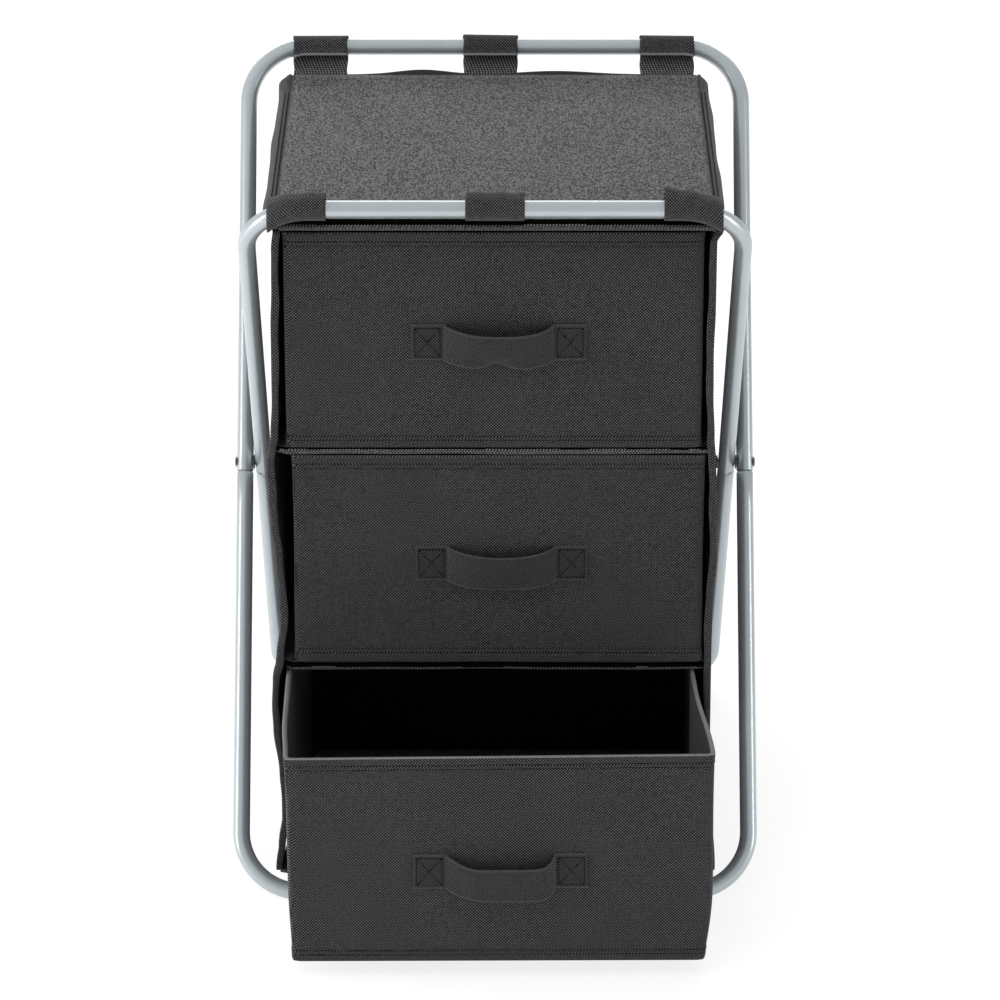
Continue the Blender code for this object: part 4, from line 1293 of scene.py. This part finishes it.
class DrawerWalls:
    """The outside of one drawer: where its cloth is at any height.

    Hem and seam bands stand out, stitch lines pull in, piping runs down the
    corners, and the side walls of a slack drawer bow.
    """

    def __init__(self, name, seed):
        self.low, self.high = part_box(f"drawer_{name}_shell")
        self.centre = np.array(((self.low + self.high) / 2)[:2])
        self.half = np.array(((self.high - self.low) / 2)[:2])
        self.tall = self.high.z - self.low.z
        self.seam = SEAM_STITCHES[name]
        self.bows = WALL_BOWS.get(name, (0.0, 0.0, 0.0))
        self.droops = DROOP.get(name, (0.0, 0.0, 0.0, 0.0))
        self.seed = seed
        self.ring, self.normal = rounded_ring(*self.half, DRAWER_CORNER)
        self.around = running_length(self.ring[:, None], 0)

    def relief(self, z):
        """How far the outside stands out at a height, all round the ring."""
        hem_line = self.tall - HEM_STITCHES[1]
        hem = eased(z, hem_line - HEM_EASE, hem_line + HEM_INNER_EASE)
        seam = 1.0 - eased(z, self.seam[1] - HEM_INNER_EASE, self.seam[1] + HEM_EASE)
        lines = [self.tall - line for line in HEM_STITCHES] + list(self.seam)
        grooves = sum(ridge(z, line, STITCH_SPREAD) for line in lines)
        free = math.sin(math.pi * min(max(z / self.tall, 0.0), 1.0)) ** 0.5
        dents = hollows(self.around + 0.4 * self.seed, z, self.seed) * free
        corner = np.abs(self.normal).min(axis=1)
        piping = PIPING * eased(corner, 0.42, 0.62)
        return HEM_PUFF * (hem + 1.3 * seam) - STITCH_DEPTH * grooves + dents + piping

    def share_back(self, flat):
        """0 at the drawer's front and 1 at its back."""
        return (flat[:, 1] + self.half[1]) / (2 * self.half[1])

    def bowed(self, place, z):
        """Bend the side walls in or out, most at the top and the middle."""
        left_bow, right_bow, right_front = self.bows
        up = 0.35 + 0.65 * z / self.tall
        back = self.share_back(place)
        aside = place[:, 0] / self.half[0]
        left, right = (np.clip(way, 0.0, 1.0) ** 3 for way in (-aside, aside))
        left_curve = (0.55 + 0.45 * eased(back, 0.0, 0.18) - eased(back, 0.45, 0.95)) * left_bow
        rounding = math.sin(math.pi / 2 * min(1.0, 3.0 * z / self.tall))
        right_curve = ridge(back, 0.45, 0.25) * right_bow * up
        right_curve = right_curve + right_front * (1.0 - eased(back, 0.0, 0.3)) * rounding
        bent = place.copy()
        bent[:, 0] += right * right_curve - left * left_curve * rounding * up
        return bent

    def droop(self, flat, z):
        """How far the front hangs down: four corners of its front wall say."""
        top_left, top_right, foot_left, foot_right = self.droops
        back = self.share_back(flat)
        to_right = np.clip((flat[:, 0] / self.half[0] + 1.0) / 2.0, 0.0, 1.0)
        top = top_left + (top_right - top_left) * to_right
        foot = foot_left + (foot_right - foot_left) * to_right
        up = np.clip(z / self.tall, 0.0, 1.0)
        return (foot + (top - foot) * up) * (1.0 - np.clip(back / 0.6, 0.0, 1.0)) ** 1.3

    def at(self, z, inset=0.0):
        """The ring at a height, this far inside the relief of the outside."""
        place = self.ring + self.normal * (self.relief(z) - inset)[:, None]
        return self.bowed(place, z)

    def world(self, flat, z):
        """Points of the drawer as points of the scene."""
        return np.column_stack((flat + self.centre, self.low.z + z - self.droop(flat, z)))

    def surface(self):
        """The whole drawer: up the outside, over the hem and down the inside."""
        shrink = np.linspace(0.0, 1.0, 7)[:-1]
        top = self.tall - WALL / 2
        rows = [(self.ring * share, 0.0) for share in shrink]
        for turn in np.linspace(0.0, math.pi / 2, 5):
            z = RIM * (1.0 - math.cos(turn))
            rows.append((self.at(z, RIM * (1.0 - math.sin(turn))), z))
        bands = (
            np.arange(RIM, DENSE_BAND, DENSE_STEP),
            np.linspace(DENSE_BAND, self.tall - DENSE_BAND, 80),
            np.arange(self.tall - DENSE_BAND, top, DENSE_STEP)[1:],
        )
        rows += [(self.at(z), z) for z in np.concatenate(bands)[1:]]
        for turn in np.linspace(0.0, math.pi, 9)[1:-1]:
            inset = (WALL + HEM_PUFF) / 2 * (1.0 - math.cos(turn))
            rows.append((self.at(top, inset), top + WALL / 2 * math.sin(turn)))
        self.inside_row = len(rows)
        hem_line = self.tall - HEM_STITCHES[1]
        for z in np.linspace(top, WALL, 34):
            inset = WALL + HEM_PUFF * eased(z, hem_line - HEM_EASE, hem_line)
            rows.append((self.bowed(self.ring - self.normal * inset, z), z))
        rows += [((self.ring - self.normal * WALL) * share, WALL) for share in shrink[::-1]]
        return np.stack([self.world(*row) for row in rows])


DRAWERS = ("top", "middle", "bottom")
walls = {}
shells = {}
for seed, name in enumerate(DRAWERS):
    wall = walls[name] = DrawerWalls(name, seed + 1.0)
    shape = grid(wall.surface(), False, True)
    node = f"drawer_{name}_shell"
    piece = make_piece(f"{node}_cloth", shape, f"drawer_{name}", drawer_cloth, [node])
    shells[name] = piece

    def on_the_lip(x, y, z):
        """Faces of the rolled top edge, wherever the front hangs down."""
        flat = np.column_stack((x, y)) - wall.centre
        return z + wall.droop(flat, wall.tall) > wall.high.z - LIP_SHOWN

    first_inside = wall.inside_row * len(wall.ring)
    # Painted shade: the inside of each drawer is painted nearly black.
    paint(piece, shade_inside_cloth, lambda x, y, z: np.arange(len(x)) >= first_inside)
    # Painted highlight: the rolled top edge is painted lighter; on the bottom drawer it is
    # partly wear as well.
    paint(piece, worn_and_lit_fold if name == "bottom" else painted_light_cloth, on_the_lip)
print("drawers made:", DRAWERS)

# %% [markdown]
# ### Boards
#
# A stiff board fills each sleeve of the organiser, and a loose one lies on the floor of each
# drawer. The stiff ones are cut a little small, and all have rounded corners and edges. The
# loose ones bend slightly upwards at their middle with age.

# %% Boards
BOARD_CORNER = 0.012
BOARD_EDGE = 0.0004
BOARD_INSET = Vector((0.008, 0.014, 0.0))
BASE_BEND = 0.0005


def board(name, node, body, inset, bend):
    """A board as wide and long as its solid, less the inset on every side.

    Its rows run from the middle of its underside out to the edge, up, and back
    to the middle of its top.
    """
    low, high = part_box(node)
    low, high = low + inset, high - inset
    centre = np.array(((low + high) / 2)[:2])
    half = np.array(((high - low) / 2)[:2])
    outline, facing = rounded_ring(*half, BOARD_CORNER)
    inward = np.linspace(0.0, 1.0, 9)[:-1]
    rim = ((BOARD_EDGE, low.z), (0.0, low.z + BOARD_EDGE), (0.0, high.z - BOARD_EDGE))
    rows = [(share, 0.0, low.z) for share in inward]
    rows += [(1.0, edge, z) for edge, z in (*rim, (BOARD_EDGE, high.z))]
    rows += [(share, 0.0, high.z) for share in inward[::-1]]
    points = []
    for share, edge, z in rows:
        flat = (outline - facing * edge) * share
        warp = bend * (1.0 - ((flat / half) ** 2).max(axis=1))
        points.append(np.column_stack((flat + centre, z + warp)))
    return make_piece(name, grid(np.stack(points), False, True), body, greyboard, [node])


for name in ("top_panel", "upper_shelf", "lower_shelf", "floor_panel"):
    board(f"{name}_stiffener", f"{name}_board", "organiser", BOARD_INSET, 0.0)
bases = {}
for name in DRAWERS:
    body = f"drawer_{name}"
    bases[name] = board(f"{body}_base", f"{body}_base_board", body, Vector(), BASE_BEND)
print("boards made")

# %% [markdown]
# ### Handles
#
# A handle is a length of webbing. Its ends lie flat on the drawer's face, and
# between them it stands off and sags. Use has pulled each one its own way: how
# deep it sags, how suddenly it leaves its left and right patch, how far it rolls
# forward and how much it is kinked. Its lower edge also tucks in somewhere, and
# it has slipped a little aside.

# %% Handles
HANDLE_SPAN = 0.0865
HANDLE_CLOTH = 0.0014
HANDLE_BOW = 0.0125
HANDLE_HABITS = {
    "top": (0.0048, 2.2, 3.4, 0.0030, 0.0026),
    "middle": (0.0046, 2.1, 2.5, 0.0016, 0.0006),
    "bottom": (0.0070, 1.8, 9.0, 0.0020, 0.0),
}
HANDLE_TUCKS = {
    "top": (-0.04, 0.28, 1.0),
    "middle": (0.1, 0.5, 0.2),
    "bottom": (-0.65, 0.25, 0.25),
}
PATCH_SEAT = 0.0003
TUCK_IN = 0.0075
TUCK_UP = 0.0032
HANDLE_ASIDE = {"top": 0.0040, "middle": 0.0025, "bottom": 0.0015}


def hanging(name, x, z):
    """How far a drawer's front hangs down at places on its front wall."""
    wall = walls[name]
    flat = np.column_stack((np.ravel(x) - wall.centre[0], np.full(x.size, -wall.half[1])))
    return wall.droop(flat, np.ravel(z) - wall.low.z).reshape(x.shape)


handle_places = {}
straps = {}
for name in DRAWERS:
    low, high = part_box(f"drawer_{name}_handle")
    middle = (low.x + high.x) / 2 + HANDLE_ASIDE[name]
    half_length = (high.x - low.x) / 2
    centre_z = high.z - HANDLE_WIDTH / 2
    deepest, left_power, right_power, roll, kink = HANDLE_HABITS[name]
    half_span = HANDLE_SPAN / 2
    turn = np.linspace(-math.pi / 2, math.pi / 2, 61)
    patch = np.linspace(half_length, half_span, 9)[:-1]
    along = np.concatenate((-patch, half_span * np.sin(turn), patch[::-1]))[None, :]
    width = np.linspace(-0.5, 0.5, 17)[:, None]
    share = np.clip(along / half_span, -1.0, 1.0)
    power = left_power + (right_power - left_power) * (share + 1.0) / 2.0
    rise = 1.0 - np.abs(share) ** power
    bow = HANDLE_BOW * rise**0.6
    sag = deepest * rise
    rolled = roll * rise * np.sin(math.pi * width)
    kinked = kink * ridge(share, 0.62, 0.12) * (0.5 - width)
    flat = walls[name].low.y - SEAT_GAP - HANDLE_CLOTH / 2 - PATCH_SEAT
    tucked_at, tuck_reach, tuck = HANDLE_TUCKS[name]
    lower_half = np.clip(-2.0 * width, 0.0, 1.0)
    tucked = tuck * ridge(share, tucked_at, tuck_reach) * rise * lower_half**2
    y = flat - bow - rolled + kinked + TUCK_IN * tucked
    z = centre_z + width * HANDLE_WIDTH - sag - 0.4 * kinked + TUCK_UP * tucked
    points = points_at(middle + along, y, z)
    points[..., 2] -= hanging(name, points[..., 0], points[..., 2])
    shape = grid(points.transpose(1, 0, 2))
    handle_places[name] = (middle, centre_z, flat - HANDLE_CLOTH / 2, half_span, half_length)
    body, node = f"drawer_{name}", f"drawer_{name}_handle"
    handle = make_piece(
        f"{node}_strap", shape, body, webbing, [node], HANDLE_CLOTH, closed=False
    )
    straps[name] = handle
print("handles made")

# %% [markdown]
# ## Stitches
#
# A seam is a row of small sunk beads of thread. One bead is a few rings of five
# points, and numpy repeats it along a path, turned to the path's direction. All
# the seams of one body are joined into one mesh.

# %% Beads along a path
BEAD = np.array(((-1.0, 0.25), (-0.72, 0.85), (0.0, 1.0), (0.72, 0.85), (1.0, 0.25)))
BEAD_SIDES = 5
STITCH = 0.0028
THREAD_RADIUS = 0.00055


def unit(vectors):
    """Vectors scaled to length 1."""
    return vectors / np.linalg.norm(vectors, axis=1, keepdims=True)


def stitch_run(path, facing, pitch=STITCH, radius=THREAD_RADIUS):
    """Beads of thread evenly along a path of points, lying on a surface.

    facing is the surface's outward direction at each point of the path.
    """
    path = np.asarray(path, dtype=float)
    facing = np.broadcast_to(np.asarray(facing, dtype=float), path.shape)
    along = running_length(path[:, None], 0)
    count = max(1, round(along[-1] / pitch))
    marks = (np.arange(count) + 0.5) * along[-1] / count
    reach = along[-1] / count * 0.36

    def read(table, at):
        """Values of a table along the path, column by column."""
        return np.stack([np.interp(at, along, column) for column in table.T], -1)

    ahead, behind = read(path, marks + reach), read(path, marks - reach)
    centre = (ahead + behind) / 2
    tangent = (ahead - behind) / 2
    normal = unit(read(facing, marks))
    side = unit(np.cross(tangent, normal))
    around = np.linspace(0.0, 2.0 * math.pi, BEAD_SIDES, endpoint=False)
    length, girth = BEAD[:, 0, None, None], BEAD[:, 1, None, None] * radius
    ring_side = np.cos(around)[None, :, None] * side[:, None, None, :]
    ring_up = np.sin(around)[None, :, None] * normal[:, None, None, :]
    beads = centre[:, None, None, :] + length * tangent[:, None, None, :]
    beads = beads + girth * (ring_side + 0.8 * ring_up)
    starts = np.arange(count)[:, None, None] * len(BEAD) * BEAD_SIDES
    quads = (grid(beads[0], False, True)[1] + starts).reshape(-1, 4)
    return beads.reshape(-1, 3), quads, np.zeros((quads.size, 2))


def line(start, end, steps=12):
    """Points on a straight line."""
    share = np.linspace(0.0, 1.0, steps)[:, None]
    return np.array(start) * (1.0 - share) + np.array(end) * share


# %% Seams of the drawers and box-and-cross seams of the handles
PATCH_MARGIN = 0.0030
PATCH_STITCH = 0.0024
CROSSED_BOX = ((0, 1), (1, 2), (2, 3), (3, 0), (0, 2), (1, 3))
for name in DRAWERS:
    wall = walls[name]
    runs = []
    facing = np.column_stack((wall.normal, np.zeros(len(wall.normal))))
    around = np.append(np.arange(len(wall.ring)), 0)
    for z in (*(wall.tall - down for down in HEM_STITCHES), *wall.seam):
        path = wall.world(wall.at(z), z)[around]
        runs.append(stitch_run(path, facing[around]))
    middle, centre_z, face_y, half_span, half_length = handle_places[name]
    for side in (-1, 1):
        inner = middle + side * (half_span + PATCH_MARGIN)
        outer = middle + side * (half_length - PATCH_MARGIN)
        reach = HANDLE_WIDTH / 2 - PATCH_MARGIN
        x = np.array((inner, inner, outer, outer))
        z = centre_z + np.array((-reach, reach, reach, -reach))
        marks = points_at(x, face_y, z - hanging(name, x, z))
        for first, last in CROSSED_BOX:
            path = line(marks[first], marks[last])
            runs.append(stitch_run(path, (0.0, -1.0, 0.0), PATCH_STITCH))
    body = f"drawer_{name}"
    stitches = make_piece(f"{body}_stitches", joined(runs), body, thread, closed=False)
    if name == "bottom":
        for piece in (shells[name], bases[name], straps[name], stitches):
            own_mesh(piece)
print("drawer stitches made")

# %% Seams along the side tape of the top
TAPE_STITCHES = (0.0006, 0.0038)
TAPE_THREAD = 0.0006
SEAM_ENDS = (0.002, 0.042)
for label, (side, height, front, rear, press) in tape_seams.items():
    runs = []
    for outward in TAPE_STITCHES:
        x = side * (TAPE_INNER + outward)
        path = line((x, front + SEAM_ENDS[0], height), (x, rear - SEAM_ENDS[1], height))
        runs.append(stitch_run(path, (0.0, 0.0, 1.0), STITCH, TAPE_THREAD))
    name = f"top_tape_{label}_stitches"
    piece = make_piece(name, joined(runs), "organiser", thread, closed=False)
    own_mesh(piece)
print("tape stitches made")

# %% [markdown]
# ## Stage, light and camera
#
# A plain pale floor, soft lamps in front, above, behind and at both sides, and
# an even pale room. Seen straight from the camera, the floor and the room are
# whiter than the light they give. The camera stands where the photographer stood.

# %% Stage and floor
FLOOR_SIZE = 16.0
WHITE = (1.0, 1.0, 1.0, 1.0)
PAPER_WHITE = (0.86, 0.86, 0.86, 1.0)
PAPER_GLOW = 1.12
GLOW_SHARE = 0.72

floor_mesh = bpy.data.meshes.new("studio_floor")
half = FLOOR_SIZE / 2
floor_corners = [(-half, -half, 0.0), (half, -half, 0.0), (half, half, 0.0), (-half, half, 0.0)]
floor_mesh.from_pydata(floor_corners, [], [(0, 1, 2, 3)])
floor = bpy.data.objects.new("studio_floor", floor_mesh)
bpy.context.scene.collection.objects.link(floor)

paper_material = bpy.data.materials.new("white paper")
paper = Nodes(paper_material)
paper.tree.nodes.remove(paper.tree.nodes["Principled BSDF"])
matt = paper.node("ShaderNodeBsdfDiffuse", {}, {"Color": PAPER_WHITE})
glow = paper.node("ShaderNodeEmission", {}, {"Color": WHITE, "Strength": PAPER_GLOW})
camera_ray, glossy_ray, clear_ray = paper.rays("Camera", "Glossy", "Transmission")
seen = camera_ray.larger(glossy_ray).larger(clear_ray) * GLOW_SHARE
look = paper.node("ShaderNodeMixShader", {}, {"Fac": seen, 1: matt, 2: glow})
paper.fill(paper.tree.nodes["Material Output"], {"Surface": look})
floor_mesh.materials.append(paper_material)

# %% Room light and lamps
AMBIENT, MIRRORED, BACKDROP = 0.42, 0.60, 1.0

world = bpy.data.worlds.new("pale room")
bpy.context.scene.world = world
room = Nodes(world)
room.tree.nodes.remove(room.tree.nodes["Background"])
ambient, mirrored, backdrop = [
    room.node("ShaderNodeBackground", {}, {"Color": WHITE, "Strength": strength})
    for strength in (AMBIENT, MIRRORED, BACKDROP)
]
camera_ray, glossy_ray = room.rays("Camera", "Glossy")
look = room.node("ShaderNodeMixShader", {}, {"Fac": glossy_ray, 1: ambient, 2: mirrored})
look = room.node("ShaderNodeMixShader", {}, {"Fac": camera_ray, 1: look, 2: backdrop})
room.fill(room.tree.nodes["World Output"], {"Surface": look})

LAMPS = (
    ("key lamp", (-0.9, -1.5, 2.6), (1.3, 1.3), 21.0, False),
    ("low lamp", (-0.15, -1.70, 0.22), (2.4, 1.0), 14.5, False),
    ("top lamp", (0.1, 0.5, 2.5), (1.5, 1.5), 20.0, False),
    ("left strip", (-2.2, -0.6, 0.7), (0.35, 1.6), 13.0, True),
    ("left rim", (-2.0, 0.0, 0.5), (0.5, 1.6), 32.0, False),
    ("right strip", (2.2, -0.6, 0.7), (0.35, 1.6), 11.0, True),
    ("back strip", (0.0, 2.4, 1.7), (3.4, 1.3), 36.0, True),
)
LAMPS_AIM = Vector((0.0, 0.0, 0.3))
for name, place, (width, height), power, shows in LAMPS:
    light = bpy.data.lights.new(name, "AREA")
    light.shape = "RECTANGLE"
    light.size = width
    light.size_y = height
    light.energy = power
    lamp = bpy.data.objects.new(name, light)
    bpy.context.scene.collection.objects.link(lamp)
    lamp.location = place
    lamp.rotation_euler = (LAMPS_AIM - Vector(place)).to_track_quat("-Z", "Y").to_euler()
    lamp.visible_glossy = shows
    lamp.visible_camera = False
print("lamps:", [name for name, *_ in LAMPS])

# %% Camera
EYE = Vector((0.0, -3.4803, 1.820))
LOOKS_AT = Vector((0.0, 0.0697, 0.2709))
FOCAL_PIXELS = 4587.1
IMAGE_SIDE = 1000.0
SENSOR = 36.0
CENTRE_PIXEL = 494.98

view = bpy.data.cameras.new("camera")
view.sensor_width = SENSOR
view.lens = SENSOR * FOCAL_PIXELS / IMAGE_SIDE
view.shift_x = (IMAGE_SIDE / 2 - CENTRE_PIXEL) / IMAGE_SIDE
camera = bpy.data.objects.new("camera", view)
bpy.context.scene.collection.objects.link(camera)
camera.location = EYE
camera.rotation_euler = (LOOKS_AT - EYE).to_track_quat("-Z", "Y").to_euler()
bpy.context.scene.camera = camera
bpy.context.scene.view_settings.view_transform = "Standard"
print("camera lens", round(view.lens, 2))
